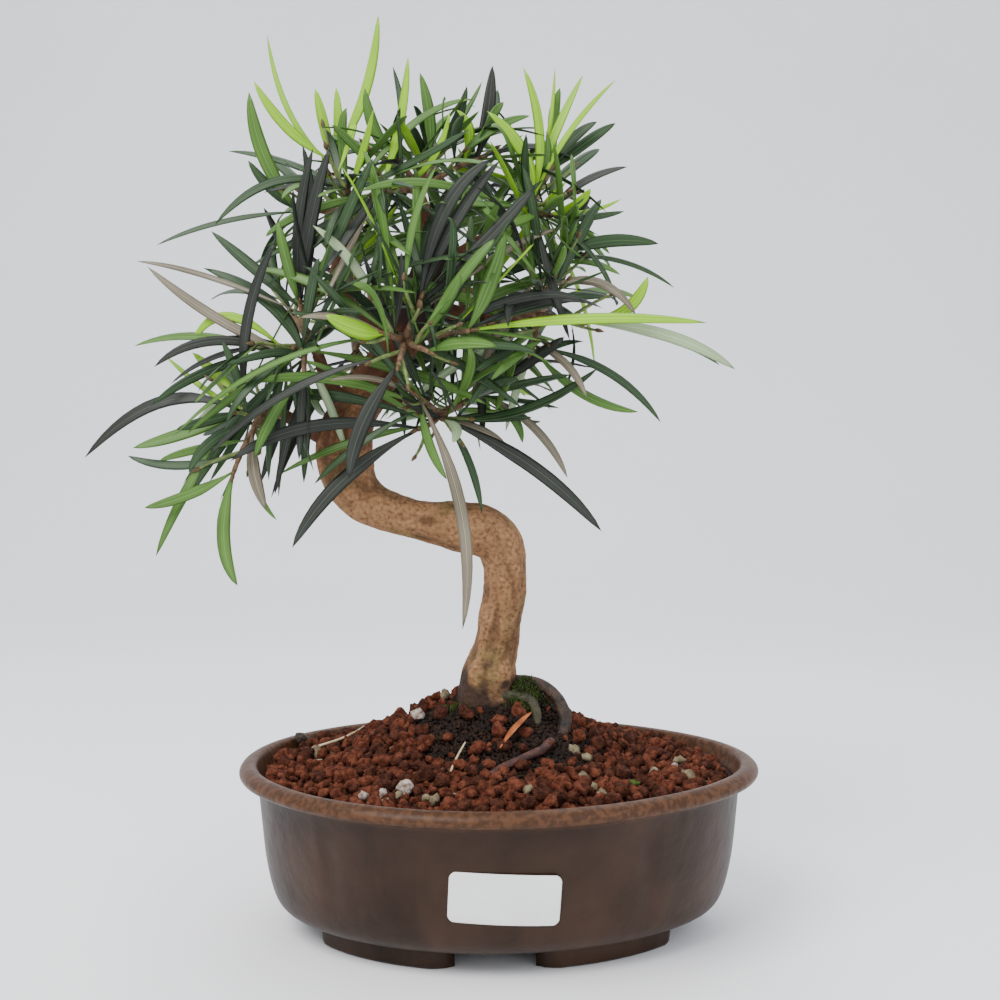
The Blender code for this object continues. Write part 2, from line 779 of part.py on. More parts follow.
def limb_piece(obj):
    """A made limb as a piece in millimetres, for the leaves to keep clear of."""
    points = [Vector((v.co.x / MM - ORIGIN_SHIFT, v.co.y / MM, v.co.z / MM)) for v in obj.data.vertices]
    return piece(points, [tuple(polygon.vertices) for polygon in obj.data.polygons])


def main():
    """Makes the pot, the soil, the trunk, its roots, the boughs and the masses of leaves."""
    clear_scene()
    make_pot(material("pot_glaze", (0.055, 0.042, 0.034), 0.35))
    make_soil("soil", material("soil_grit", (0.16, 0.06, 0.035), 0.95))
    bark = material("trunk_bark", (0.30, 0.17, 0.09), 0.85)
    limbs = [make_trunk("trunk", bark)]
    for name, nodes in ROOTS.items():
        root_bark = material(name + "_bark", (0.10, 0.075, 0.05), 0.85)
        cutters = [make_trunk("clear_trunk", swell=GAP), make_soil("clear_soil", raised=GAP)]
        limbs.append(make_limb(name, nodes, ROOT_SIDES, root_bark, cutters))
    for name, limb in LIMBS.items():
        bough_bark = material("bough_" + name + "_bark", (0.20, 0.10, 0.06), 0.85)
        thick, thin = limb.radii
        last = len(limb.path) - 1
        nodes = [(*point, thick + (thin - thick) * index / last) for index, point in enumerate(limb.path)]
        limbs.append(make_limb("bough_" + name, nodes, BOUGH_SIDES, bough_bark, [make_trunk("clear_trunk", swell=GAP)]))
    masses = grow_masses([limb_piece(limb) for limb in limbs])
    for name, pieces in masses.items():
        make_mass(name, pieces, material("mass_" + name + "_leaf", (0.06, 0.13, 0.035), 0.5))


main()
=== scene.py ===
"""The dressed look of a podocarpus bonsai in an oval footed pot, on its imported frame.

Shapes are worked out in millimetres round the tree's own middle; SHIFT and MM turn them
into the frame's metres. Z is up and the front faces -Y.
"""
import logging
import math
from dataclasses import dataclass
from enum import Enum
from typing import NamedTuple, Optional

import bmesh
import bpy
import numpy as np
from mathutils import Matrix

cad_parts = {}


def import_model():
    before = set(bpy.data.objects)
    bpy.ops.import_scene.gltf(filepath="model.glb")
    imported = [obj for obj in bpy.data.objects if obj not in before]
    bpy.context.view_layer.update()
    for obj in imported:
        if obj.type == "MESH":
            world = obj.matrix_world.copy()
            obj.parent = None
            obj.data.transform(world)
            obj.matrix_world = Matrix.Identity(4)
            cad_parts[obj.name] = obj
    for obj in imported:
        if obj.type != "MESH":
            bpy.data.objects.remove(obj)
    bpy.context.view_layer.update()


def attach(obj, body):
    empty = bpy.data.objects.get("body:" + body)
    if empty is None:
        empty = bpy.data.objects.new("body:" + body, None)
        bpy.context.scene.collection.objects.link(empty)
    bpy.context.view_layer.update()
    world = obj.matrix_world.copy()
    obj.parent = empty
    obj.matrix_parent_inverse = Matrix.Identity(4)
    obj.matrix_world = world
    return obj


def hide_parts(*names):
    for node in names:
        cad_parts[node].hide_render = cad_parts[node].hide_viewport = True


MM = 0.001
SHIFT = 25.8
WELD = 0.0005
SLIVER = 1e-8
LOG = logging.getLogger("bonsai")

# The numbers that scatter the noise
NOISE_WAYS = np.array((127.1, 311.7, 74.7))
NOISE_SCRAMBLE = 43758.5453
NOISE_STEP = 7.31

# Sizes of the pot, soil and wood, in millimetres
POT_CENTRE = 2.4
PLAN_SQUARE = 0.0055
PLAN_EGG = 0.012

# The pot's profile as rows of height, half width and half depth, up the outside and down the inside
WALL = np.array((
    (5.6, 0.0, 0.0), (5.6, 60.0, 38.0), (7.0, 75.0, 50.5), (8.6, 82.6, 57.4), (12.0, 88.0, 62.5),
    (19.0, 91.2, 66.5), (31.0, 93.6, 70.5), (46.0, 95.2, 74.0), (57.5, 96.3, 76.6), (60.4, 97.6, 77.9),
    (61.3, 101.0, 81.3), (62.6, 103.3, 83.8), (64.4, 103.8, 84.3), (66.3, 102.7, 83.3),
    (67.5, 100.7, 81.4), (67.6, 98.6, 79.4), (66.6, 97.0, 77.8), (63.0, 95.6, 76.2), (57.0, 93.0, 73.5),
    (40.0, 89.5, 68.5), (22.0, 84.0, 60.0), (14.0, 76.0, 51.0), (12.5, 40.0, 28.0), (12.5, 0.0, 0.0),
))
FOOT_OUTSIDE = (78.0, 53.5)
FOOT_SPAN = (25.0, 78.0)
GROUND = 88.5
MOUND_CENTRE = (-1.0, 8.0)
PLATEAU = 16.5
SOIL_EDGE = 64.5
MOUND_SPREAD = 30.0
MOUND_POWER = 1.6
SOIL_FALL = 2.0
SOIL_FALL_REACH = 95.0
CLUMP_CENTRE = (15.0, 2.0)
CLUMP_REACH = (8.5, 7.5)
CLUMP_HEIGHT = 10.5

# Rows of x, y, z and radius along the wood
TRUNK = (
    (-1.0, 8.0, 86.0, 14.6), (-1.0, 8.0, 88.5, 13.2), (-0.9, 8.0, 93.4, 12.3), (-0.1, 7.0, 101.0, 11.0),
    (2.4, 6.0, 111.1, 9.2), (4.4, 5.0, 123.6, 8.8), (6.0, 4.0, 135.2, 8.6), (6.2, 3.0, 145.9, 8.7),
    (3.6, 2.0, 154.5, 9.5), (-3.3, 1.0, 159.9, 10.1), (-12.2, 0.0, 161.2, 10.1),
    (-26.3, -1.0, 163.6, 8.3), (-38.3, -2.0, 166.5, 8.0), (-49.0, -3.0, 171.0, 9.0),
    (-55.3, -4.0, 177.9, 10.2), (-58.1, -4.0, 186.3, 11.0), (-58.2, -3.0, 196.3, 10.6),
    (-55.6, -1.0, 206.4, 9.5), (-50.1, 1.0, 215.7, 8.9), (-43.0, 3.0, 225.5, 8.3),
    (-35.8, 5.0, 237.7, 7.7), (-29.7, 6.0, 251.2, 7.6), (-24.5, 7.0, 263.5, 8.0),
    (-21.3, 8.0, 272.9, 7.2), (-20.4, 8.2, 276.4, 4.6),
)
ROOTS = {
    "root_outer": (
        (6.0, 9.0, 96.0, 3.2), (12.0, 7.0, 97.2, 2.9), (20.2, 2.0, 96.8, 2.6), (26.6, -2.0, 92.6, 2.4),
        (30.1, -6.0, 85.8, 2.3), (28.6, -10.0, 78.6, 2.1), (24.0, -15.0, 70.0, 1.9),
    ),
    "root_inner": (
        (5.0, -1.0, 92.5, 2.6), (11.5, -3.0, 92.8, 2.2), (16.5, -6.0, 91.4, 2.0), (18.8, -9.0, 86.4, 1.8),
        (18.0, -12.5, 79.4, 1.7), (16.6, -18.0, 70.0, 1.5),
    ),
}
ROOT_TRAIL = (
    (25.0, -13.0, 75.0, 1.8), (23.5, -21.0, 78.6, 1.9), (20.0, -30.0, 77.4, 1.9),
    (12.0, -37.5, 75.4, 1.6), (2.5, -43.5, 72.4, 1.3), (-3.0, -46.0, 69.0, 1.0),
)

# The leaves and twigs, and the rounded body and lobe that the filling leaves stay inside
LEAF_WIDTH = 5.3
FILL_LENGTH = 74.0
FILL_SHORTEST = 30.0
FILL_DROOP = 0.13
FILL_SHARES = {"top": 0.55, "upper_right": 0.55, "upper_left": 0.8, "right": 0.62, "lower_left": 0.5}
TWIG_RADIUS = 1.5
TWIG_END = 0.8
GOLDEN = math.radians(137.5)
CROWN_CENTRE = np.array((-22.0, 1.0, 258.0))
CROWN_REACH = np.array((77.0, 83.0, 66.0))
CROWN_FRONT = 1.28
CROWN_TOP = 0.85
LOBE_CENTRE = np.array((-93.0, -16.0, 203.0))
LOBE_REACH = np.array((40.0, 26.0, 36.0))
VIEWER = np.array((0.0, -1.0, 0.35))


class Leaf(Enum):
    """The colours that leaves have, each dealt out to whole leaves; the charcoal ones and the brown-grey dry
    ones are partly painted sheen.
    """
    FRESH = "leaf_fresh"
    GREEN = "leaf_green"
    DEEP = "leaf_deep"
    CHARCOAL = "leaf_charcoal"
    DRY_AND_SHEEN = "leaf_dry"
    PALE = "leaf_pale"


FRESH, GREEN, DEEP, CHARCOAL, DRY_AND_SHEEN, PALE = Leaf


class Shoot(NamedTuple):
    """A leafy twig: where it ends, its weight in leaves that fill it, and its long leaves.

    A long leaf is the x, y and z of its tip, how far its middle bows in x and z, its width and colour.
    """
    tip: tuple
    fill: int
    long_leaves: tuple = ()


class Limb(NamedTuple):
    """A bough from the trunk's middle line to its tip, and the shoots of the mass that grows on."""
    path: tuple
    radii: tuple
    shoots: tuple


LIMBS = {
    "lower_left": Limb(
        path=((-62, -4, 195), (-72, -8, 200), (-81, -12, 206)),
        radii=(3.4, 2.3),
        shoots=(
            Shoot((-97, -17, 207), 6, (
                (-160, -12, 189, 0, 13, 1.1, CHARCOAL), (-120, -27, 200, 0, 0, 0.9, DEEP),
                (-138, -22, 193, 0, -1, 1.1, GREEN), (-129, -24, 151, -2, 3, 1.0, GREEN),
                (-118, -8, 231, 2, 0, 1.0, FRESH), (-130, -2, 230, 0, -2, 0.5, FRESH),
                (-79, -40, 270, -5, 2, 1.0, CHARCOAL),
            )),
            Shoot((-98, -28, 183), 5, (
                (-133, -25, 170, 0, -2, 0.9, GREEN), (-95, -36, 141, -5, -3, 1.1, GREEN),
                (-142, -15, 190, -2, -4, 0.8, DEEP),
            )),
            Shoot((-90, -30, 199), 5, (
                (-84, -36, 170, -2, -1, 1.0, DRY_AND_SHEEN), (-82, -24, 165, -5, -1, 0.6, GREEN),
            )),
            Shoot((-96, 22, 214), 7, ((-129, 62, 228, -3, 4, 1.0, DEEP),)),
        ),
    ),
    "left": Limb(
        path=((-56, -2, 208), (-64, -6, 219), (-68, -10, 230)),
        radii=(3.2, 2.2),
        shoots=(
            Shoot((-79, -20, 227), 6, (
                (-140, -12, 233, -2, 6, 1.0, GREEN), (-129, -24, 224, -3, 8, 0.8, CHARCOAL),
                (-117, -14, 233, -4, 13, 0.8, FRESH),
            )),
            Shoot((-72, -28, 248), 6, (
                (-66, -34, 305, -3, 0, 0.9, CHARCOAL), (-59, -38, 305, -2, 0, 1.1, CHARCOAL),
                (-108, -18, 277, 1, -1, 1.0, DEEP), (-142, 0, 268, -4, 4, 0.5, DRY_AND_SHEEN),
            )),
            Shoot((-71, -26, 221), 7, (
                (-113, -10, 264, 8, 3, 1.2, DEEP), (-134, -14, 264, -2, -3, 0.9, DRY_AND_SHEEN),
            )),
            Shoot((-88, 28, 256), 7, ((-129, 74, 261, -3, 4, 1.0, DEEP),)),
        ),
    ),
    "upper_left": Limb(
        path=((-38, 5, 232), (-61, -2, 258), (-55, -6, 277)),
        radii=(3.0, 1.9),
        shoots=(
            Shoot((-55, -16, 294), 7, (
                (-106, -20, 279, -2, 10, 0.8, DEEP), (-106, 5, 313, 0, 3, 0.9, DEEP),
            )),
            Shoot((-64, 0, 309), 5, (
                (-94, -2, 339, -2, -3, 0.9, FRESH), (-90, 6, 360, -4, -6, 0.5, FRESH),
                (-69, -6, 335, 0, 0, 0.9, FRESH), (-61, -4, 336, 1, 0, 0.8, FRESH),
                (-44, -6, 364, 4, -3, 0.9, FRESH),
            )),
            Shoot((-76, -6, 286), 6, (
                (-94, -12, 332, -4, -2, 1.2, GREEN), (-95, -10, 306, -1, -2, 0.9, DEEP),
                (-132, -8, 273, -2, 3, 0.6, DEEP),
            )),
            Shoot((-71, 30, 296), 7, ((-104, 70, 328, -3, 3, 1.0, DEEP),)),
        ),
    ),
    "top": Limb(
        path=((-24, 8, 266), (-24, 6, 278), (-27, 3, 288)),
        radii=(3.4, 2.2),
        shoots=(
            Shoot((-45, -20, 291), 6, (
                (-31, -24, 342, 2, -2, 0.9, FRESH), (-15, -26, 321, 4, -5, 0.7, FRESH),
            )),
            Shoot((-38, -6, 309), 6, (
                (-49, -10, 334, -2, -3, 1.0, GREEN), (-39, 2, 346, 3, -2, 0.6, DEEP),
            )),
            Shoot((-24, 0, 311), 7, (
                (-28, 0, 343, 2, -2, 1.0, GREEN), (-9, -6, 336, 2, -3, 0.9, DEEP),
                (-3, -2, 339, 1, -2, 0.6, GREEN),
            )),
            Shoot((-4, -8, 307), 5, (
                (1, -6, 344, 1, -2, 1.1, CHARCOAL), (3, 6, 338, 2, 0, 1.0, DEEP),
                (-13, -12, 325, 4, 2, 0.9, FRESH),
            )),
            Shoot((-22, 34, 314), 7, ((-27, 62, 349, -2, 0, 1.0, DEEP),)),
        ),
    ),
    "upper_right": Limb(
        path=((-20, 8, 266), (-8, 4, 274), (4, 0, 280)),
        radii=(3.4, 2.2),
        shoots=(
            Shoot((16, -12, 288), 6, (
                (13, -14, 341, 5, 0, 0.8, FRESH), (-1, -22, 322, 6, 1, 1.1, FRESH),
                (26, 2, 346, 2, -2, 0.4, FRESH), (37, -4, 341, -2, -1, 0.8, FRESH),
                (50, -4, 339, -3, 2, 0.5, FRESH),
            )),
            Shoot((27, 6, 310), 6, (
                (28, 0, 337, -2, 0, 1.0, GREEN), (20, 2, 320, -2, 0, 0.9, GREEN),
                (43, 2, 324, -1, 2, 1.0, DEEP), (51, 8, 325, 0, 1, 1.0, DEEP),
            )),
            Shoot((23, -8, 285), 6, (
                (54, -12, 303, -2, 3, 1.0, CHARCOAL), (39, -20, 293, 2, -2, 0.9, FRESH),
                (54, 0, 288, -1, -2, 0.8, DEEP), (53, 6, 294, 2, -2, 0.4, FRESH),
            )),
            Shoot((21, 36, 301), 7, ((49, 66, 328, 2, 3, 1.0, DEEP),)),
        ),
    ),
    "right": Limb(
        path=((-27, 7, 253), (-8, 2, 246), (10, -4, 245)),
        radii=(3.6, 2.3),
        shoots=(
            Shoot((29, -6, 273), 6, (
                (75, 6, 258, 2, 4, 0.6, DEEP), (67, -6, 274, -1, 3, 1.1, DEEP),
                (52, -4, 262, 0, 3, 0.7, GREEN),
            )),
            Shoot((35, -14, 242), 6, (
                (61, -22, 259, 4, -5, 1.3, FRESH), (97, -10, 224, 4, 4, 1.1, PALE),
                (93, 0, 226, 5, 3, 0.5, DEEP),
            )),
            Shoot((16, -22, 230), 6, (
                (68, -8, 203, 4, 5, 0.8, DEEP), (58, -18, 207, -2, -5, 1.0, GREEN),
                (37, -30, 212, 2, 3, 0.7, DRY_AND_SHEEN),
            )),
            Shoot((20, -16, 256), 6, ((56, -28, 243, 3, 8, 0.8, DRY_AND_SHEEN),)),
            Shoot((30, 36, 259), 7, ((68, 72, 261, 3, 3, 1.0, GREEN),)),
        ),
    ),
    "lower_right": Limb(
        path=((-48, 1, 216), (-35, -4, 211), (-25, -9, 207)),
        radii=(3.4, 2.2),
        shoots=(
            Shoot((-18, -20, 204), 6, (
                (42, -24, 224, 2, -6, 1.0, DEEP), (43, -28, 161, 4, 3, 1.2, CHARCOAL),
                (6, -16, 195, 0, 1, 0.9, DRY_AND_SHEEN), (-3, -22, 168, 2, 2, 0.8, DEEP),
                (-14, -32, 195, 3, 1, 0.9, PALE),
            )),
            Shoot((-29, -32, 214), 5, (
                (-10, -42, 125, 8, 0, 1.0, DRY_AND_SHEEN), (-16, -34, 181, -2, -1, 0.8, GREEN),
            )),
            Shoot((-28, -22, 200), 5, (
                (-75, -32, 155, -5, 3, 1.2, CHARCOAL), (-97, -38, 188, -5, 7, 1.1, CHARCOAL),
            )),
            Shoot((-2, -4, 217), 6, (
                (31, -6, 181, 4, 3, 0.8, DRY_AND_SHEEN), (13, -4, 195, 4, 2, 0.8, GREEN),
            )),
            Shoot((-16, 30, 213), 7, ((-5, 70, 192, 2, 3, 1.0, DEEP),)),
        ),
    ),
    "front": Limb(
        path=((-36, 5, 237), (-35, -10, 236), (-34, -26, 234)),
        radii=(3.4, 2.4),
        shoots=(
            Shoot((-39, -46, 235), 6, ((-58, -62, 240, 1, -2, 1.4, FRESH),)),
            Shoot((-33, -50, 223), 6, ((-50, -60, 182, -4, -1, 1.2, CHARCOAL),)),
            Shoot((-22, -48, 228), 6, ((3, -60, 229, -1, 2, 1.4, GREEN),)),
            Shoot((-25, -48, 247), 6, (
                (1, -52, 297, -4, 7, 1.1, CHARCOAL), (17, -50, 288, 1, -1, 1.1, CHARCOAL),
                (4, -50, 297, -2, 3, 1.0, CHARCOAL),
            )),
            Shoot((-7, -46, 236), 6, (
                (6, -54, 270, 1, -1, 1.2, GREEN), (82, -34, 240, 0, 3, 1.05, FRESH),
            )),
        ),
    ),
    "back_left": Limb(
        path=((-37, 5, 235), (-45, 22, 243), (-51, 34, 249)),
        radii=(3.2, 2.2),
        shoots=(
            Shoot((-63, 58, 281), 7),
            Shoot((-76, 60, 246), 7),
            Shoot((-63, 54, 218), 7),
            Shoot((-45, 66, 265), 7, ((-51, 80, 285, 0, 5, 1.0, GREEN),)),
        ),
    ),
    "back_right": Limb(
        path=((-32, 6, 246), (-23, 24, 253), (-17, 36, 258)),
        radii=(3.2, 2.2),
        shoots=(
            Shoot((-9, 58, 295), 7),
            Shoot((8, 60, 260), 7),
            Shoot((-9, 56, 227), 7),
            Shoot((-31, 54, 307), 7),
        ),
    ),
}


# Surfaces

def lattice_noise(points: np.ndarray, scale: float, seed: float) -> np.ndarray:
    """Value noise from -1 to 1: values hashed at whole steps, blended smoothly between them.

    Args:
        points: Places, with x, y and z last.
        scale: Steps to a millimetre.
        seed: Moves the pattern.

    Returns:
        One value a place.
    """
    spot = points * scale + seed * NOISE_STEP
    cell = np.floor(spot)
    part = spot - cell
    part = part * part * (3 - 2 * part)
    total = np.zeros(points.shape[:-1])
    for corner in range(8):
        step = np.array((corner & 1, corner >> 1 & 1, corner >> 2 & 1), float)
        value = np.sin((cell + step) @ NOISE_WAYS) * NOISE_SCRAMBLE
        total += (value - np.floor(value)) * np.prod(np.where(step > 0, part, 1 - part), axis=-1)
    return 2 * total - 1


def layered_noise(points: np.ndarray, scale: float, seed: float, layers: int = 3) -> np.ndarray:
    """Noise on noise, each layer twice as fine and half as strong as the one before."""
    return sum(lattice_noise(points, scale * 2 ** k, seed + k) / 2 ** k for k in range(layers))


def smooth_path(nodes: tuple | np.ndarray, count: int) -> np.ndarray:
    """A Catmull-Rom curve through rows of numbers: a cubic between each two rows.

    Args:
        nodes: The rows it passes through.
        count: How many rows come out.

    Returns:
        The rows of the curve, evenly spaced from node to node.
    """
    rows = np.asarray(nodes, float)
    padded = np.vstack((2 * rows[0] - rows[1], rows, 2 * rows[-1] - rows[-2]))
    place = np.linspace(0, len(rows) - 1, count)
    index = np.minimum(place.astype(int), len(rows) - 2)
    t = (place - index)[:, None]
    a, b, c, d = (padded[index + k] for k in range(4))
    square = 2 * a - 5 * b + 4 * c - d
    cube = 3 * b - a - 3 * c + d
    return 0.5 * (2 * b + (c - a) * t + square * t ** 2 + cube * t ** 3)


def unit(vectors: np.ndarray) -> np.ndarray:
    """The vectors at length one."""
    return vectors / np.maximum(np.linalg.norm(vectors, axis=-1, keepdims=True), 1e-9)


def turns(count: int) -> np.ndarray:
    """Angles evenly round a full turn."""
    return np.linspace(0, 2 * np.pi, count, endpoint=False)


def away(spots: np.ndarray, centre: tuple) -> np.ndarray:
    """How far spots are from a centre, seen from above."""
    return np.hypot(spots[:, 0] - centre[0], spots[:, 1] - centre[1])


def across_from(way: np.ndarray) -> tuple[np.ndarray, np.ndarray]:
    """Two ways square to a way and to each other."""
    side = unit(np.cross(way, np.eye(3)[int(np.argmin(np.abs(way)))]))
    return side, np.cross(way, side)


def pole(rings: np.ndarray) -> np.ndarray:
    """Rings of points drawn together to their middles."""
    return rings.mean(axis=-2, keepdims=True).repeat(rings.shape[-2], axis=-2)


def close_ends(points: np.ndarray) -> np.ndarray:
    """Grids of points with a pole before the first ring and after the last."""
    return np.concatenate((pole(points[..., :1, :, :]), points, pole(points[..., -1:, :, :])), axis=-3)


def tube(rows: np.ndarray, sides: int) -> np.ndarray:
    """A limb round a middle line, closed to a point at both ends.

    Each ring is the radius times the cosine of the angle along one way and its sine along another,
    both square to the line, turned from the axis that the line keeps farthest from.

    Args:
        rows: x, y, z and radius along the line.
        sides: Points round it.

    Returns:
        Rings of points.
    """
    tangents = unit(np.gradient(rows[:, :3], axis=0))
    axis = np.eye(3)[int(np.argmin(np.abs(tangents).max(axis=0)))]
    side = unit(axis - tangents * (tangents @ axis)[:, None])
    other = np.cross(tangents, side)
    angle = turns(sides)[:, None]
    ring = side[:, None] * np.cos(angle) + other[:, None] * np.sin(angle)
    points = rows[:, None, :3] + ring * rows[:, None, 3:4]
    ends = rows[[0, -1], None, :3].repeat(sides, axis=1)
    return np.concatenate((ends[:1], points, ends[1:]))


def grid_faces(rows: int, columns: int, copies: int, wraps: bool) -> np.ndarray:
    """The quads between the points of grids.

    Args:
        rows: Rows of points in a grid.
        columns: Points in a row.
        copies: How many grids there are.
        wraps: Whether each row goes round and closes.

    Returns:
        Four point numbers for each quad.
    """
    last = columns if wraps else columns - 1
    row, column = np.meshgrid(np.arange(rows - 1), np.arange(last), indexing="ij")
    after = (column + 1) % columns
    quads = np.stack((row * columns + column, row * columns + after,
                      (row + 1) * columns + after, (row + 1) * columns + column), axis=-1).reshape(-1, 4)
    return (quads[None] + (np.arange(copies) * rows * columns)[:, None, None]).reshape(-1, 4)


def make_piece(name: str, points: np.ndarray, uvs: Optional[np.ndarray] = None, wraps: bool = True,
               **values: np.ndarray) -> bpy.types.Object:
    """A mesh object at the origin from one grid of points in millimetres, or from several.

    Args:
        name: The piece's name.
        points: Places, by copy where there are several, by row and column, with x, y and z last.
        uvs: The place of each point on the piece's own map.
        wraps: Whether each row goes round and closes.
        values: Numbers from 0 to 1 for each point, kept as attributes.

    Returns:
        The object, shaded smooth, with its faces turned outwards.
    """
    rows, columns = points.shape[-3:-1]
    faces = grid_faces(rows, columns, points.size // (3 * rows * columns), wraps)
    places = (points.reshape(-1, 3) + (SHIFT, 0.0, 0.0)) * MM
    mesh = bpy.data.meshes.new(name)
    mesh.from_pydata(places.tolist(), [], faces.tolist())
    for key, numbers in values.items():
        layer = mesh.attributes.new(key, "FLOAT", "POINT")
        layer.data.foreach_set("value", np.clip(numbers, 0, 1).astype(np.float32).ravel())
    if uvs is not None:
        layer = mesh.uv_layers.new(name="UVMap")
        corners = np.empty(len(mesh.loops), np.int32)
        mesh.loops.foreach_get("vertex_index", corners)
        layer.data.foreach_set("uv", uvs.reshape(-1, 2)[corners].astype(np.float32).ravel())
    work = bmesh.new()
    work.from_mesh(mesh)
    bmesh.ops.remove_doubles(work, verts=work.verts, dist=WELD * MM)
    bmesh.ops.dissolve_degenerate(work, edges=work.edges, dist=SLIVER)
    bmesh.ops.recalc_face_normals(work, faces=work.faces)
    work.to_mesh(mesh)
    work.free()
    mesh.shade_smooth()
    obj = bpy.data.objects.new(name, mesh)
    bpy.context.scene.collection.objects.link(obj)
    return obj


def settle(obj: bpy.types.Object, slot: str, finish: "Finish", *nodes: str) -> None:
    """Dresses a piece, and tells the frame what it rides on and the nodes it stands for.

    Args:
        obj: The piece.
        slot: The record's material slot; not used.
        finish: What it is dressed in.
        nodes: The nodes that it stands for.
    """
    obj.data.materials.append(finish.material())
    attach(obj, "root")
    if nodes:
        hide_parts(*nodes)
    LOG.info("%s: %d faces", obj.name, len(obj.data.polygons))


# Finishes

Colour = tuple[float, float, float]
Socket = bpy.types.NodeSocket
MIX_SHARE, MIX_FIRST, MIX_SECOND, MIX_RESULT = 0, 6, 7, 2


def shade(colour: Colour, strength: float) -> Colour:
    """A colour made darker or lighter."""
    return tuple(strength * part for part in colour)


class Paint:
    """A material's nodes as they are set out."""

    def __init__(self, name: str) -> None:
        """Starts a material of that name."""
        self.material = bpy.data.materials.new(name)
        self.material.use_nodes = True
        self.nodes = self.material.node_tree.nodes
        self.shader = self.nodes["Principled BSDF"]
        coordinates = self.nodes.new("ShaderNodeTexCoord").outputs
        self.place, self.map = coordinates["Object"], coordinates["UV"]

    def link(self, source: Socket, target: Socket) -> None:
        """Joins two sockets."""
        self.material.node_tree.links.new(source, target)

    def add(self, kind: str, source: Socket, socket: str, **numbers: float | Colour) -> bpy.types.Node:
        """A node with one linked socket.

        Args:
            kind: Blender's name for the node.
            source: What is linked to it.
            socket: The socket that takes it.
            numbers: Plain values for other sockets, with underscores for the spaces in their names.

        Returns:
            The node.
        """
        node = self.nodes.new(kind)
        for name, number in numbers.items():
            node.inputs[name.replace("_", " ")].default_value = number
        self.link(source, node.inputs[socket])
        return node

    def noise(self, scale: float, detail: float = 4.0, stretch: Colour = (1, 1, 1),
              place: Optional[Socket] = None) -> Socket:
        """Noise on the piece's own place or map.

        Args:
            scale: Steps to a metre.
            detail: How many finer layers it has.
            stretch: How much closer its steps are along each axis.
            place: What it is laid on, where that isn't the piece's own place.

        Returns:
            A number about 0.5.
        """
        mapping = self.add("ShaderNodeMapping", place or self.place, "Vector", Scale=stretch)
        laid = mapping.outputs["Vector"]
        return self.add("ShaderNodeTexNoise", laid, "Vector", Scale=scale, Detail=detail).outputs["Fac"]

    def ramp(self, source: Socket, *stops: tuple[float, Colour]) -> Socket:
        """A colour for each value of a number.

        Args:
            source: The number.
            stops: Values and the colours that they have.

        Returns:
            The colour, blended between the stops.
        """
        node = self.add("ShaderNodeValToRGB", source, "Fac")
        band = node.color_ramp
        while len(band.elements) < len(stops):
            band.elements.new(0.5)
        for element, (value, colour) in zip(band.elements, stops):
            element.position = value
            element.color = (*colour, 1.0)
        return node.outputs["Color"]

    def span(self, source: Socket, low: float, high: float, last: float = 1.0) -> Socket:
        """A number from 0 to last as the source goes from low to high."""
        return self.add("ShaderNodeMapRange", source, "Value", From_Min=low, From_Max=high,
                        To_Min=0.0, To_Max=last).outputs["Result"]

    def mix(self, share: Socket, first: Socket, second: Socket | Colour) -> Socket:
        """One colour into another.

        Args:
            share: How much of the second colour there is.
            first: The colour at a share of 0.
            second: The colour at a share of 1.

        Returns:
            The mixed colour.
        """
        node = self.nodes.new("ShaderNodeMix")
        node.data_type = "RGBA"
        self.link(share, node.inputs[MIX_SHARE])
        self.link(first, node.inputs[MIX_FIRST])
        if isinstance(second, tuple):
            node.inputs[MIX_SECOND].default_value = (*second, 1.0)
        else:
            self.link(second, node.inputs[MIX_SECOND])
        return node.outputs[MIX_RESULT]

    def attribute(self, name: str) -> Socket:
        """A number kept with the piece's points."""
        node = self.nodes.new("ShaderNodeAttribute")
        node.attribute_name = name
        return node.outputs["Fac"]

    def height(self) -> Socket:
        """How far up a place is, in metres."""
        return self.add("ShaderNodeSeparateXYZ", self.place, "Vector").outputs["Z"]

    def relief(self, source: Socket, depth: float, strength: float = 1.0) -> None:
        """Raises the surface by a number times a depth in metres."""
        node = self.add("ShaderNodeBump", source, "Height", Distance=depth, Strength=strength)
        self.link(node.outputs["Normal"], self.shader.inputs["Normal"])

    def finish(self, colour: Socket, roughness: float, gloss: float) -> bpy.types.Material:
        """Puts the colour and the plain numbers on the shader.

        Args:
            colour: The base colour.
            roughness: From 0, mirror smooth, to 1, matt.
            gloss: How much it reflects.

        Returns:
            The material.
        """
        self.link(colour, self.shader.inputs["Base Color"])
        self.shader.inputs["Roughness"].default_value = roughness
        self.shader.inputs["Specular IOR Level"].default_value = gloss
        return self.material


@dataclass(frozen=True)
class Finish:
    """A mottled surface: two colours by noise, and a fine relief. Scales are steps to a metre."""
    name: str
    dark: Colour
    light: Colour
    roughness: float = 0.8
    scale: float = 300.0
    grain: float = 1500.0
    depth: float = 0.0002
    gloss: float = 0.4

    def material(self) -> bpy.types.Material:
        """The material, whose nodes are set out once for each name."""
        return bpy.data.materials.get(self.name) or self.build(Paint(self.name))

    def build(self, paint: Paint) -> bpy.types.Material:
        """Noise picks between the colours, and finer noise raises the surface."""
        colour = paint.ramp(paint.noise(self.scale), (0.36, self.dark), (0.64, self.light))
        paint.relief(paint.noise(self.grain, 3.0), self.depth)
        return paint.finish(colour, self.roughness, self.gloss)


@dataclass(frozen=True)
class Grain(Finish):
    """A baked clay grain: matt and pitted."""
    roughness: float = 0.95
    scale: float = 420.0
    grain: float = 1100.0
    depth: float = 0.0012
    gloss: float = 0.12


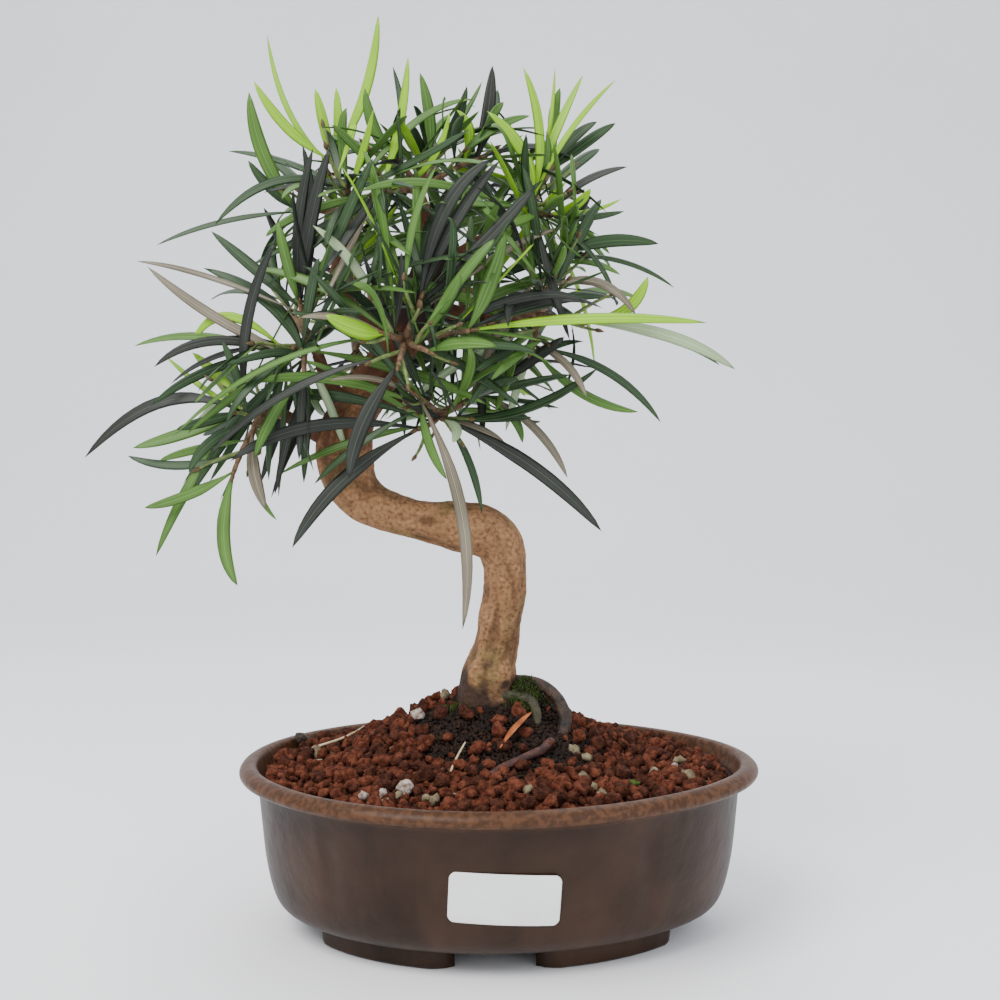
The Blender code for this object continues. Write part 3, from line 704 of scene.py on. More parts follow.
@dataclass(frozen=True)
class Glaze(Finish):
    """The pot's satin glaze: brown-grey, runs of lighter brown, a browner rim with worn specks."""
    rim: Colour = (0.083, 0.036, 0.0165)
    rim_from: float = 0.0585
    rim_full: float = 0.0635
    cloud_scale: float = 22.0
    run_scale: float = 60.0
    run_share: float = 0.45
    speck_scale: float = 420.0
    wave_scale: float = 130.0
    wave_depth: float = 0.0007

    def build(self, paint: Paint) -> bpy.types.Material:
        """Upright runs over cloudy mottling, mixed to the rim's colour by height.

        Args:
            paint: Where the nodes are set out.

        Returns:
            The material.
        """
        cloud = paint.ramp(paint.noise(self.cloud_scale, 5.0), (0.34, self.dark), (0.66, self.light))
        runs = paint.span(paint.noise(self.run_scale, 3.0, (1.0, 1.0, 0.12)), 0.52, 0.72, self.run_share)
        body = paint.mix(runs, cloud, shade(self.light, 1.35))
        worn = shade(self.rim, 0.55)
        speck = paint.ramp(paint.noise(self.speck_scale, 2.0), (0.42, worn), (0.60, self.rim))
        warm = paint.mix(paint.span(paint.height(), self.rim_from, self.rim_full), body, speck)
        paint.relief(paint.noise(self.wave_scale, 5.0), self.wave_depth, 0.6)
        return paint.finish(warm, self.roughness, self.gloss)


@dataclass(frozen=True)
class Bark(Finish):
    """Ochre bark with lichen, and darker fissures deepened by painted shade; the wet foot is dark, and the
    long-cut top is darkened by painted shade inside the crown.
    """
    lichen: Colour = (0.120, 0.098, 0.030)
    russet: Colour = (0.110, 0.038, 0.020)
    wet: Colour = (0.024, 0.012, 0.008)
    # The dark of the long-cut top, laid on as painted shade inside the crown
    old: Colour = (0.035, 0.017, 0.017)
    fleck_scale: float = 640.0
    cloud_scale: float = 75.0
    lichen_scale: float = 52.0
    cover_share: float = 0.6
    skin_scale: float = 620.0
    skin_depth: float = 0.0012

    def build(self, paint: Paint) -> bpy.types.Material:
        """Flecks, clouds and lichen by noise; then russet and wet wood, painted shade in the hollows, and
        painted shade inside the crown round the long-cut top, by their numbers.

        Args:
            paint: Where the nodes are set out.

        Returns:
            The material.
        """
        tone = paint.ramp(paint.noise(self.fleck_scale, 10.0), (0.30, self.dark), (0.50, self.light),
                          (0.72, shade(self.light, 1.4)))
        cloud = paint.span(paint.noise(self.cloud_scale, 4.0), 0.50, 0.72, self.cover_share)
        tone = paint.mix(cloud, tone, self.dark)
        patch = paint.span(paint.noise(self.lichen_scale, 6.0), 0.52, 0.64, self.cover_share)
        tone = paint.mix(patch, tone, self.lichen)
        tone = paint.mix(paint.attribute("russet"), tone, self.russet)
        # Painted shade: the more hollow the bark, the darker, over its darker fissures.
        fissure_and_shade = paint.span(paint.attribute("hollow"), 0.45, 1.0, self.cover_share)
        tone = paint.mix(fissure_and_shade, tone, shade(self.dark, 0.35))
        tone = paint.mix(paint.attribute("wet"), tone, self.wet)
        # Painted shade inside the crown, round the trunk's long-cut top
        tone = paint.mix(paint.attribute("old"), tone, self.old)
        paint.relief(paint.noise(self.skin_scale, 8.0), self.skin_depth, 0.9)
        return paint.finish(tone, self.roughness, self.gloss)


@dataclass(frozen=True)
class Blade(Finish):
    """A leaf: a plain colour of its kind with a soft cloudiness and a satin gloss."""
    cloud_scale: float = 35.0
    vein_scale: float = 9.0
    vein_depth: float = 0.0001

    def build(self, paint: Paint) -> bpy.types.Material:
        """Broad noise moves the colour a little, and noise drawn out along the leaf makes its fine veins.

        Args:
            paint: Where the nodes are set out.

        Returns:
            The material.
        """
        colour = paint.ramp(paint.noise(self.cloud_scale, 3.0), (0.30, self.dark), (0.70, self.light))
        veins = paint.noise(self.vein_scale, 2.0, (1.0, 0.05, 1.0), paint.map)
        colour = paint.mix(paint.span(veins, 0.40, 0.66, 0.42), colour, shade(self.light, 1.7))
        paint.relief(veins, self.vein_depth, 0.6)
        return paint.finish(colour, self.roughness, self.gloss)


GLAZE = Glaze("pot_glaze", (0.0150, 0.0072, 0.0042), (0.040, 0.0205, 0.0122), 0.42, gloss=0.16)
LABEL = Finish("label_paper", (0.80, 0.80, 0.79), (0.86, 0.86, 0.85), 0.45, 60.0, 900.0, 0.00002)
BARK = Bark("trunk_bark", (0.118, 0.050, 0.019), (0.262, 0.136, 0.062), 0.85, gloss=0.3)
ROOT_DARK = Finish("root_dark_bark", (0.0085, 0.0045, 0.003), (0.050, 0.026, 0.014), 0.6, 260.0, 900.0,
                   0.0009)
ROOT_RED = Finish("root_red_bark", (0.022, 0.007, 0.005), (0.075, 0.021, 0.013), 0.6, 300.0, 1200.0, 0.0005)
ROOT_GREY = Finish("root_grey_bark", (0.012, 0.011, 0.005), (0.052, 0.048, 0.021), 0.7, 260.0, 900.0, 0.0009)
TWIG = Finish("twig_bark", (0.075, 0.040, 0.020), (0.19, 0.115, 0.060), 0.75, 420.0, 1600.0, 0.0003)
TWIG_GREEN = Finish("twig_young", (0.085, 0.120, 0.030), (0.160, 0.210, 0.060), 0.6, 300.0, 1600.0, 0.0002)
BUD = Finish("bud_scales", (0.050, 0.032, 0.012), (0.125, 0.072, 0.026), 0.6, 700.0, 2000.0, 0.0001)
GRAINS = {
    "soil_red": Grain("grain_red", (0.050, 0.0125, 0.0065), (0.150, 0.046, 0.024)),
    "soil_brown": Grain("grain_brown", (0.024, 0.0075, 0.0045), (0.080, 0.026, 0.014)),
    "soil_olive": Finish("grain_olive", (0.110, 0.085, 0.050), (0.240, 0.190, 0.115),
                         0.9, 420.0, 1900.0, 0.0004, 0.2),
    "soil_crust": Finish("grain_crust", (0.15, 0.095, 0.07), (0.46, 0.40, 0.35),
                         0.95, 620.0, 1900.0, 0.0005, 0.2),
    "soil_fine": Finish("grain_fine", (0.0045, 0.0025, 0.0015), (0.024, 0.011, 0.006),
                         0.8, 300.0, 1900.0, 0.0004, 0.2),
}
BED = Finish("soil_bed", (0.010, 0.005, 0.004), (0.035, 0.014, 0.010), 0.95, 420.0, 1500.0, 0.0008, 0.2)
MOSS = Finish("moss", (0.012, 0.022, 0.004), (0.050, 0.080, 0.012), 0.9, 500.0, 1800.0, 0.0002, 0.2)
STRAW = Finish("straw", (0.33, 0.24, 0.12), (0.58, 0.48, 0.29), 0.7, 260.0, 1400.0, 0.0001)
FALLEN = Finish("fallen_leaf", (0.19, 0.045, 0.010), (0.36, 0.105, 0.026), 0.55, 160.0, 1400.0, 0.0001)
LEAVES = {
    FRESH: Blade("leaf_fresh", (0.135, 0.300, 0.007), (0.225, 0.430, 0.014), 0.42, gloss=0.24),
    GREEN: Blade("leaf_green", (0.036, 0.090, 0.014), (0.072, 0.150, 0.026), 0.42, gloss=0.24),
    DEEP: Blade("leaf_deep", (0.0105, 0.027, 0.0085), (0.024, 0.050, 0.0175), 0.42, gloss=0.26),
    # Charcoal leaves and brown-grey dry ones: partly painted sheen
    CHARCOAL: Blade("leaf_charcoal", (0.0085, 0.0105, 0.0075), (0.021, 0.0245, 0.0185), 0.46, gloss=0.28),
    DRY_AND_SHEEN: Blade("leaf_dry", (0.085, 0.072, 0.048), (0.165, 0.142, 0.100), 0.50, gloss=0.25),
    PALE: Blade("leaf_pale", (0.165, 0.235, 0.125), (0.260, 0.340, 0.190), 0.42),
}
RIBS = {
    FRESH: Blade("rib_fresh", (0.24, 0.44, 0.03), (0.31, 0.50, 0.05), 0.4),
    GREEN: Blade("rib_green", (0.080, 0.185, 0.035), (0.115, 0.235, 0.050), 0.45),
    DEEP: Blade("rib_deep", (0.034, 0.085, 0.022), (0.055, 0.115, 0.034), 0.45),
    CHARCOAL: Blade("rib_charcoal", (0.028, 0.040, 0.030), (0.048, 0.064, 0.048), 0.45),
    DRY_AND_SHEEN: Blade("rib_dry", (0.25, 0.22, 0.16), (0.34, 0.31, 0.23), 0.5),
    PALE: Blade("rib_pale", (0.32, 0.40, 0.24), (0.42, 0.50, 0.32), 0.45),
}
PAPER = Finish("studio_paper", (0.88, 0.885, 0.91), (0.91, 0.915, 0.935), 0.9, 2.0, 60.0, 0.00002)


# The shape of a leaf

class Curve(NamedTuple):
    """A line from start to end that is drawn towards bend, as a parabola is."""
    start: np.ndarray
    bend: np.ndarray
    end: np.ndarray

    def at(self, part: float | np.ndarray) -> np.ndarray:
        """The place at a part of the way, from 0 to 1."""
        return self.start * (1 - part) ** 2 + self.bend * (2 * part * (1 - part)) + self.end * part ** 2


class LeafSet:
    """Leaves of one kind: each a curve, a width and the way it faces, made into surfaces together."""

    STATIONS = 15
    STATION_POWER = 0.92
    FULL_AT = 0.42
    NARROWS_AT = 0.56
    ROOT_SHARE = 0.2
    TIP_POWER = 0.72
    HALF = 0.45
    SECTION = np.array((-1.0, -0.52, 0.0, 0.52, 1.0, 0.5, 0.0, -0.5))
    LIFT = np.array((0.0, 0.26, 0.06, 0.26, 0.0, -0.20, -0.48, -0.20)) * 0.55
    THICKEST = 1.5
    FOLD = 0.10
    RIB_RISE = ((1.0, 0.17), (-1.0, 0.42))
    RIB_SINK = 0.05
    MAP_STEP = (1.37, 0.61)

    def __init__(self) -> None:
        """Starts empty."""
        self.rows: list[tuple[Curve, float, np.ndarray]] = []

    def add(self, curve: Curve, width: float, face: np.ndarray) -> None:
        """Adds a leaf."""
        self.rows.append((curve, width, face))

    def spread(self) -> tuple[np.ndarray, ...]:
        """The lines that the leaves are drawn on, by leaf and station.

        A leaf is narrow at its root, even along most of its length, and ends in a blunt tip.

        Returns:
            Middle lines, the ways to the side and up, and the half width.
        """
        curves = np.array([curve for curve, _, _ in self.rows])
        width = np.array([width for _, width, _ in self.rows])[:, None]
        face = np.array([face for _, _, face in self.rows])[:, None]
        root, bend, tip = curves[:, :1], curves[:, 1:2], curves[:, 2:]
        part = np.linspace(0, 1, self.STATIONS)[:, None] ** self.STATION_POWER
        middle = Curve(root, bend, tip).at(part)
        tangent = unit(2 * (1 - part) * (bend - root) + 2 * part * (tip - bend) + 1e-6)
        side = np.cross(tangent, np.broadcast_to(unit(face), tangent.shape))
        weak = np.linalg.norm(side, axis=-1, keepdims=True) < 0.15
        side = unit(np.where(weak, np.cross(tangent, np.array((1.0, 0.2, 0.1))), side))
        rise = np.clip(part[:, 0] / self.FULL_AT, 0, 1)
        fall = np.clip((part[:, 0] - self.NARROWS_AT) / (1 - self.NARROWS_AT), 0, 1)
        shape = self.ROOT_SHARE + (1 - self.ROOT_SHARE) * rise ** 2 * (3 - 2 * rise)
        shape = shape * (1 - fall ** 2) ** self.TIP_POWER
        return middle, side, np.cross(side, tangent), width * shape * self.HALF

    def surfaces(self) -> tuple[np.ndarray, np.ndarray]:
        """Every leaf as a closed lens-shaped blade, grooved down its middle.

        Returns:
            The points, and the place of each on the leaf's own map.
        """
        middle, side, up, half = self.spread()
        half = half[..., None, None]
        across = self.SECTION[:, None]
        rise = np.minimum(half, self.THICKEST) * self.LIFT[:, None] + self.FOLD * half * np.abs(across)
        points = middle[:, :, None] + side[:, :, None] * half * across + up[:, :, None] * rise
        points = np.concatenate((pole(points[:, :1]), points), axis=1)
        leaf = np.arange(len(points))[:, None, None]
        row = np.arange(points.shape[1])[:, None]
        over = np.broadcast_to(self.SECTION * 0.5 + 0.5 + leaf * self.MAP_STEP[0], points.shape[:3])
        up_leaf = np.broadcast_to(row / self.STATIONS + leaf * self.MAP_STEP[1], points.shape[:3])
        return points, np.stack((over, up_leaf), axis=-1)

    def ribs(self) -> np.ndarray:
        """The midrib of every leaf: a slim ridge of three sides on each face, open at its far end."""
        middle, side, up, half = (part[:, 1:-1] for part in self.spread())
        wide = side * (0.06 * half + 0.07)[..., None]
        made = []
        for way, rise in self.RIB_RISE:
            low = up * way * self.RIB_SINK
            ring = np.stack((middle + wide - low, middle + up * way * rise, middle - wide - low), axis=2)
            made.append(np.concatenate((pole(ring[:, :1]), ring), axis=1))
        return np.concatenate(made)


# The pot

def plan(angle: np.ndarray, half_width: np.ndarray | float,
         half_depth: np.ndarray | float) -> tuple[np.ndarray, np.ndarray]:
    """The pot's plan: an ellipse, a little squared by a fourth wave and egg-shaped by a third."""
    reach = 1.0 + PLAN_SQUARE * np.cos(4 * angle) + PLAN_EGG * np.cos(3 * angle)
    return POT_CENTRE + half_width * reach * np.cos(angle), half_depth * reach * np.sin(angle)


@dataclass
class Pot:
    """The oval pot: its wall with a rolled lip, four feet and a blank label."""
    sides: int = 240
    stations: int = 190
    rim_wave: float = 0.35
    rim_wave_from: float = 40.0
    rim_wave_over: float = 25.0
    skin_wave: float = 0.25
    skin_low: float = 14.0
    skin_high: float = 57.0
    crease_at: tuple = (-58.0, 58.5)
    crease_depth: float = 0.5
    crease_width: float = 3.2
    foot_rows: int = 26
    foot_sides: int = 32
    foot_width: float = 11.0
    foot_top: float = 9.6
    foot_square: float = 0.35
    foot_slope: float = 0.12
    label_size: tuple = (40.0, 20.0)
    label_sides: int = 96
    label_corner: float = 3.0
    label_place: tuple = (5.6, 33.3)
    label_tilt: float = -2.9
    label_thickness: float = 0.35
    label_gap: float = 0.45
    label_depth_share: float = 1.004

    def wall(self) -> np.ndarray:
        """A profile carried round the plan; hand-made waves and two faint creases move it in and out."""
        rows = smooth_path(WALL, self.stations)
        up, half_width, half_depth = (rows[:, k:k + 1] for k in range(3))
        angle = turns(self.sides)
        x, y = plan(angle, half_width, half_depth)
        points = np.stack((x, y, np.broadcast_to(up, x.shape)), axis=-1)
        rim_share = np.clip((up - self.rim_wave_from) / self.rim_wave_over, 0, 1)
        points[..., 2] += self.rim_wave * np.cos(2 * angle + 0.6) * rim_share
        out = unit(np.stack((x - POT_CENTRE, y * 1.4, np.zeros_like(x)), axis=-1))
        wave = self.skin_wave * layered_noise(points, 0.035, 3.0)
        fade = np.clip((up - self.skin_low) / 12, 0, 1) * np.clip((self.skin_high - up) / 10, 0, 1)
        for place in self.crease_at:
            near = np.exp(-((x - place) / self.crease_width) ** 2) * (y < 0)
            wave = wave - self.crease_depth * near * fade
        return points + out * wave[..., None]

    def foot(self, corner: int) -> np.ndarray:
        """One foot: a rounded block whose section is carried along the plan.

        Args:
            corner: Which of the four it is, round from the right at the back.

        Returns:
            Rings of points.
        """
        share = np.linspace(0, 1, self.foot_rows)
        degrees = FOOT_SPAN[0] + (FOOT_SPAN[1] - FOOT_SPAN[0]) * share
        if corner % 2:
            degrees = 180 - degrees
        angle = np.radians(180 * (corner // 2) + degrees)[:, None]
        cosine, sine = np.cos(turns(self.foot_sides)), np.sin(turns(self.foot_sides))
        edge = np.clip(np.minimum(share, 1 - share) * 9, 0, 1)[:, None] ** 0.5
        across = np.sign(cosine) * np.abs(cosine) ** self.foot_square * self.foot_width / 2 * edge
        up = np.sign(sine) * np.abs(sine) ** self.foot_square * (self.foot_top / 2) + self.foot_top / 2
        inset = self.foot_width / 2 - across - self.foot_slope * up
        x, y = plan(angle, FOOT_OUTSIDE[0] - inset, FOOT_OUTSIDE[1] - inset)
        return np.stack((x, y, np.broadcast_to(up, x.shape)), axis=-1)

    def front(self, across: np.ndarray, height: np.ndarray) -> np.ndarray:
        """Places on the front of the wall.

        Args:
            across: How far to the right each is.
            height: How high each is.

        Returns:
            The places.
        """
        rows = WALL[3:9]
        half_width, half_depth = (np.interp(height, rows[:, 0], rows[:, k]) for k in (1, 2))
        share = np.clip((across - POT_CENTRE) / half_width, -1, 1)
        out = half_depth * np.sqrt(1 - share ** 2) * self.label_depth_share
        return np.stack((across, -out, height), axis=-1)

    def label(self) -> np.ndarray:
        """A rounded rectangle in rings from its middle, bent to the wall and closed behind."""
        wide, tall = self.label_size[0] / 2, self.label_size[1] / 2
        turn = turns(self.label_sides)
        core = np.array((wide - self.label_corner, tall - self.label_corner))
        corner = np.stack((np.cos(turn), np.sin(turn)), axis=-1)
        flat = np.clip(corner * 3 * max(wide, tall), -core, core) + corner * self.label_corner
        rings = np.array((0.0, 0.25, 0.5, 0.75, 0.97, 1.0, 1.0, 0.5, 0.0))[:, None, None]
        lift = np.array((1.0, 1.0, 1.0, 1.0, 1.0, 0.8, -0.6, -0.6, -0.6))[:, None] * self.label_thickness
        over, up = np.moveaxis(flat * rings, -1, 0)
        tilt = math.radians(self.label_tilt)
        across = self.label_place[0] + over * math.cos(tilt) - up * math.sin(tilt)
        height = self.label_place[1] + over * math.sin(tilt) + up * math.cos(tilt)
        points = self.front(across, height)
        points[..., 1] -= lift + self.label_gap
        return points

    def build(self) -> None:
        """Makes the pot's pieces."""
        feet = close_ends(np.stack([self.foot(corner) for corner in range(4)]))
        settle(make_piece("pot_body", self.wall()), "pot", GLAZE, "pot")
        settle(make_piece("pot_feet", feet), "pot", GLAZE, "pot")
        settle(make_piece("label", self.label()), "pot", LABEL)


# The soil

def mound(x: np.ndarray, y: np.ndarray) -> np.ndarray:
    """The height of the soil: level near the pot, raised to a flat top under the trunk."""
    out = np.maximum(np.hypot(x - MOUND_CENTRE[0], y - MOUND_CENTRE[1]) - PLATEAU, 0.0)
    level = SOIL_EDGE - SOIL_FALL * (np.abs(x - POT_CENTRE) / SOIL_FALL_REACH) ** 4
    return level + (GROUND - level) * np.exp(-(out / MOUND_SPREAD) ** MOUND_POWER)


def ground(x: np.ndarray, y: np.ndarray) -> np.ndarray:
    """The mound with the mossy clump that is packed under the bare roots, a bell-shaped heap."""
    over = (x - CLUMP_CENTRE[0]) / CLUMP_REACH[0]
    back = (y - CLUMP_CENTRE[1]) / CLUMP_REACH[1]
    return mound(x, y) + CLUMP_HEIGHT * np.exp(-(over ** 2 + back ** 2))


@dataclass
class Soil:
    """The planting mix: a rough bed, loose grains by kind, fine wet soil on the mound, and bits on top."""
    seed: int = 11
    half_width: float = 92.5
    half_depth: float = 73.0
    bed_rows: int = 60
    bed_sides: int = 180
    bed_tuck: float = 1.6
    bed_drop: float = 1.4
    bed_floor: float = 52.0
    bed_rough: float = 0.9
    grid_reach: tuple = (100, 80)
    row_pitch: float = 0.87
    jitter: float = 0.34
    edge: float = 0.985
    squeezes: tuple = (0.72, 1.18)
    dent: float = 0.46
    spacing: float = 3.8
    upper_spacing: float = 1.6
    grain: float = 2.3
    grain_sizes: tuple = (0.55, 1.4)
    upper_lift: float = 2.2
    lower_lift: float = -0.4
    trunk_clear: float = 15.5
    stray_share: float = 0.16
    kind_steps: tuple = (0.55, 0.978, 0.997)
    olive_at: tuple = ((-31.8, -62.0), (-25.0, -62.5), (-18.5, -62.5), (67.0, -27.9), (76.0, -26.0),
                       (36.2, -24.2))
    crust_at: tuple = ((-48.6, -56.0), (-42.0, -57.5), (-35.7, -59.0))
    fine_spacing: float = 1.3
    fine_grain: float = 0.74
    fine_sizes: tuple = (0.6, 1.7)
    fine_clear: float = 11.0
    fine_reach: float = 37.0
    fine_centre: tuple = (6.0, -9.0)
    stalks: tuple = (
        ((-70.5, 6.0, 70.6, 0.55), (-63.0, 14.0, 71.6, 0.55), (-58.0, 26.0, 72.0, 0.45),
         (-55.0, 36.0, 72.6, 0.3)),
        ((-14.4, -45.0, 72.6, 0.45), (-12.0, -38.0, 76.8, 0.45), (-9.3, -31.0, 80.4, 0.3)),
    )
    fallen: tuple = ((4.0, -34.5, 79.0), (9.5, -26.0, 86.0), (16.8, -14.5, 89.0))
    fallen_width: float = 3.4
    fallen_face: tuple = (-0.5, -0.8, 0.3)
    crumbs: tuple = ((-62.8, -2.4, 69.5, 1.7), (-60.8, -3.6, 69.3, 1.1), (53.4, -46.4, 68.3, 1.6),
                     (55.0, -45.2, 68.0, 1.2), (51.8, -47.0, 68.0, 1.0))
    chips: tuple = ((-82.0, 33.0, 67.2, 3.4), (-79.0, 34.5, 66.4, 2.2))
    tufts_at: tuple = ((10.0, -5.0), (13.0, -2.0), (11.0, 4.0), (15.0, -5.0), (15.0, 2.0), (17.0, 6.0),
                       (19.0, 1.0), (-13.0, -3.0), (13.0, 9.0), (2.0, 23.0), (13.0, 15.0))
    tuft_blades: int = 1300
    tuft_spread: float = 2.4
    blade_radius: float = 0.34

    def bed(self) -> np.ndarray:
        """Rings from the trunk to the wall at the ground's height, roughened, closed underneath."""
        share = np.linspace(0, 1, self.bed_rows)[:, None]
        wide, deep = self.half_width + self.bed_tuck, self.half_depth + self.bed_tuck
        rim_x, rim_y = plan(turns(self.bed_sides), wide, deep)
        x = MOUND_CENTRE[0] + (rim_x - MOUND_CENTRE[0]) * share
        y = MOUND_CENTRE[1] + (rim_y - MOUND_CENTRE[1]) * share
        top = np.stack((x, y, ground(x, y) - self.bed_drop), axis=-1)
        top[..., 2] += self.bed_rough * layered_noise(top, 0.25, 5.0) * (1 - 0.6 * share)
        under = top[::-12].copy()
        middle = np.array((POT_CENTRE, 0.0))
        under[..., :2] = middle + (under[..., :2] - middle) * 0.95
        under[..., 2] = self.bed_floor
        return close_ends(np.concatenate((top, under)))

    def lumps(self, places: np.ndarray, sizes: np.ndarray, rng: np.random.Generator,
              rows: int, columns: int) -> np.ndarray:
        """Rough lumps: spheres on a grid, squeezed, dented by noise and turned, one a place.

        Args:
            places: Middles of the lumps.
            sizes: Their radii.
            rng: Where their turns come from.
            rows: Rows of points from pole to pole.
            columns: Points round each row.

        Returns:
            Their points, by lump, row and column.
        """
        down, turn = np.linspace(0, np.pi, rows)[:, None], turns(columns)
        ball = np.stack((np.sin(down) * np.cos(turn), np.sin(down) * np.sin(turn),
                         np.cos(down) + 0 * turn), axis=-1)
        count = len(places)
        squeeze = rng.uniform(*self.squeezes, (count, 1, 1, 3))
        spin = np.linalg.qr(rng.normal(size=(count, 3, 3)))[0]
        pattern = ball + rng.uniform(0, 90, (count, 1, 1, 3))
        dents = 1 + self.dent * layered_noise(pattern, 1.5, 2.0, 2)
        shaped = ball * squeeze * dents[..., None] * sizes[:, None, None, None]
        return np.einsum("nrck,nkj->nrcj", shaped, spin) + places[:, None, None, :]

    def wall_share(self, spots: np.ndarray) -> np.ndarray:
        """How near spots are to the wall: 0 in the middle and 1 on the soil's edge, squared."""
        return ((spots[:, 0] - POT_CENTRE) / self.half_width) ** 2 + (spots[:, 1] / self.half_depth) ** 2

    def scatter(self, spacing: float, rng: np.random.Generator) -> np.ndarray:
        """Places on the soil: rows and columns a spacing apart, moved at random, inside the wall.

        Args:
            spacing: How far apart they are.
            rng: What moves them.

        Returns:
            Rows of x and y.
        """
        wide, deep = self.grid_reach
        x, y = np.meshgrid(np.arange(-wide, wide + 1, spacing),
                           np.arange(-deep, deep + 1, spacing * self.row_pitch))
        x = x + (np.arange(len(x)) % 2)[:, None] * spacing / 2
        moves = rng.uniform(-self.jitter, self.jitter, (x.size, 2)) * spacing
        spots = np.stack((x.ravel(), y.ravel()), axis=-1) + moves
        return spots[self.wall_share(spots) < self.edge]

    def grains(self, rng: np.random.Generator) -> None:
        """Two coats of grains, each grain of a kind by chance, and the pale and olive ones where they lie.

        Args:
            rng: Where their places, sizes and kinds come from.
        """
        lower = self.scatter(self.spacing, rng)
        spots = np.concatenate((lower, self.scatter(self.spacing * self.upper_spacing, rng)))
        upper = np.arange(len(spots)) >= len(lower)
        dry = away(spots, self.fine_centre) > self.fine_reach + rng.uniform(-6, 4, len(spots))
        keep = dry | (rng.random(len(spots)) < self.stray_share)
        keep &= away(spots, MOUND_CENTRE) > self.trunk_clear
        spots, upper = spots[keep], upper[keep]
        sizes = self.grain * rng.uniform(*self.grain_sizes, len(spots))
        lift = np.where(upper, self.upper_lift, self.lower_lift)
        height = mound(*spots.T) + lift + rng.uniform(-0.6, 0.8, len(spots))
        height -= np.where(self.wall_share(spots) > 0.85, 1.2, 0.0)
        places = np.column_stack((spots, height))
        names = ("soil_red", "soil_brown", "soil_olive", "soil_crust")
        kinds = np.digitize(rng.random(len(spots)), self.kind_steps)
        for name, lying in (("soil_olive", self.olive_at), ("soil_crust", self.crust_at)):
            for place in lying:
                kinds[np.argmin(away(spots, place) - 3.0 * upper)] = names.index(name)
        for number, name in enumerate(names):
            chosen = kinds == number
            points = self.lumps(places[chosen], sizes[chosen], rng, 7, 9)
            settle(make_piece(name, points), "soil", GRAINS[name])

    def fine(self, rng: np.random.Generator) -> None:
        """Small wet grains over the mound.

        Args:
            rng: Where their places and sizes come from.
        """
        spots = self.scatter(self.fine_spacing, rng)
        wet = away(spots, self.fine_centre) < self.fine_reach + rng.uniform(-4, 10, len(spots))
        spots = spots[wet & (away(spots, MOUND_CENTRE) > self.fine_clear)]
        sizes = self.fine_grain * rng.uniform(*self.fine_sizes, len(spots))
        height = ground(*spots.T) - 0.5 + rng.uniform(-0.5, 0.6, len(spots))
        points = self.lumps(np.column_stack((spots, height)), sizes, rng, 5, 6)
        settle(make_piece("soil_fine", points), "soil", GRAINS["soil_fine"])

    def bits(self, rng: np.random.Generator) -> None:
        """Straw stalks, a fallen leaf, green crumbs and a dark chip on top of the grains.

        Args:
            rng: Where the turns of the crumbs and the chip come from.
        """
        points = np.stack([tube(smooth_path(nodes, 18), 6) for nodes in self.stalks])
        settle(make_piece("straw", points), "soil", STRAW)
        leaf = LeafSet()
        leaf.add(Curve(*np.array(self.fallen)), self.fallen_width, np.array(self.fallen_face))
        settle(make_piece("fallen_leaf", *leaf.surfaces()), "soil", FALLEN)
        for name, lumps, rows, finish in (("moss_crumbs", self.crumbs, 7, MOSS),
                                          ("dark_chip", self.chips, 9, ROOT_DARK)):
            spots = np.array(lumps)
            points = self.lumps(spots[:, :3], spots[:, 3], rng, rows, rows + 3)
            settle(make_piece(name, points), "soil", finish)

    def moss(self, rng: np.random.Generator) -> None:
        """Tufts of moss: short upright blades standing in clumps at the trunk's foot.

        Args:
            rng: Where the blades' places, leans and heights come from.
        """
        count = self.tuft_blades
        home = np.array(self.tufts_at)[rng.integers(0, len(self.tufts_at), count)]
        spots = home + rng.normal(0, self.tuft_spread, (count, 2))
        base = np.column_stack((spots, ground(*spots.T) - 0.8))
        lean = rng.normal(0, 0.45, (count, 2))
        tall = rng.uniform(1.2, 3.2, count)
        share = np.linspace(0, 1, 4)[:, None]
        axis = base[:, None] + share * np.column_stack((lean * tall[:, None], tall))[:, None]
        turn = turns(3)[:, None]
        radius = self.blade_radius * np.sin(np.pi * (0.15 + 0.85 * share))[:, None]
        ring = np.concatenate((np.cos(turn), np.sin(turn), 0 * turn), axis=-1) * radius
        settle(make_piece("moss_tufts", axis[:, :, None] + ring), "soil", MOSS)

    def build(self) -> None:
        """Makes the soil's pieces."""
        rng = np.random.default_rng(self.seed)
        settle(make_piece("soil_bed", self.bed()), "soil", BED, "soil")
        for part in (self.grains, self.fine, self.bits, self.moss):
            part(rng)


# The wood

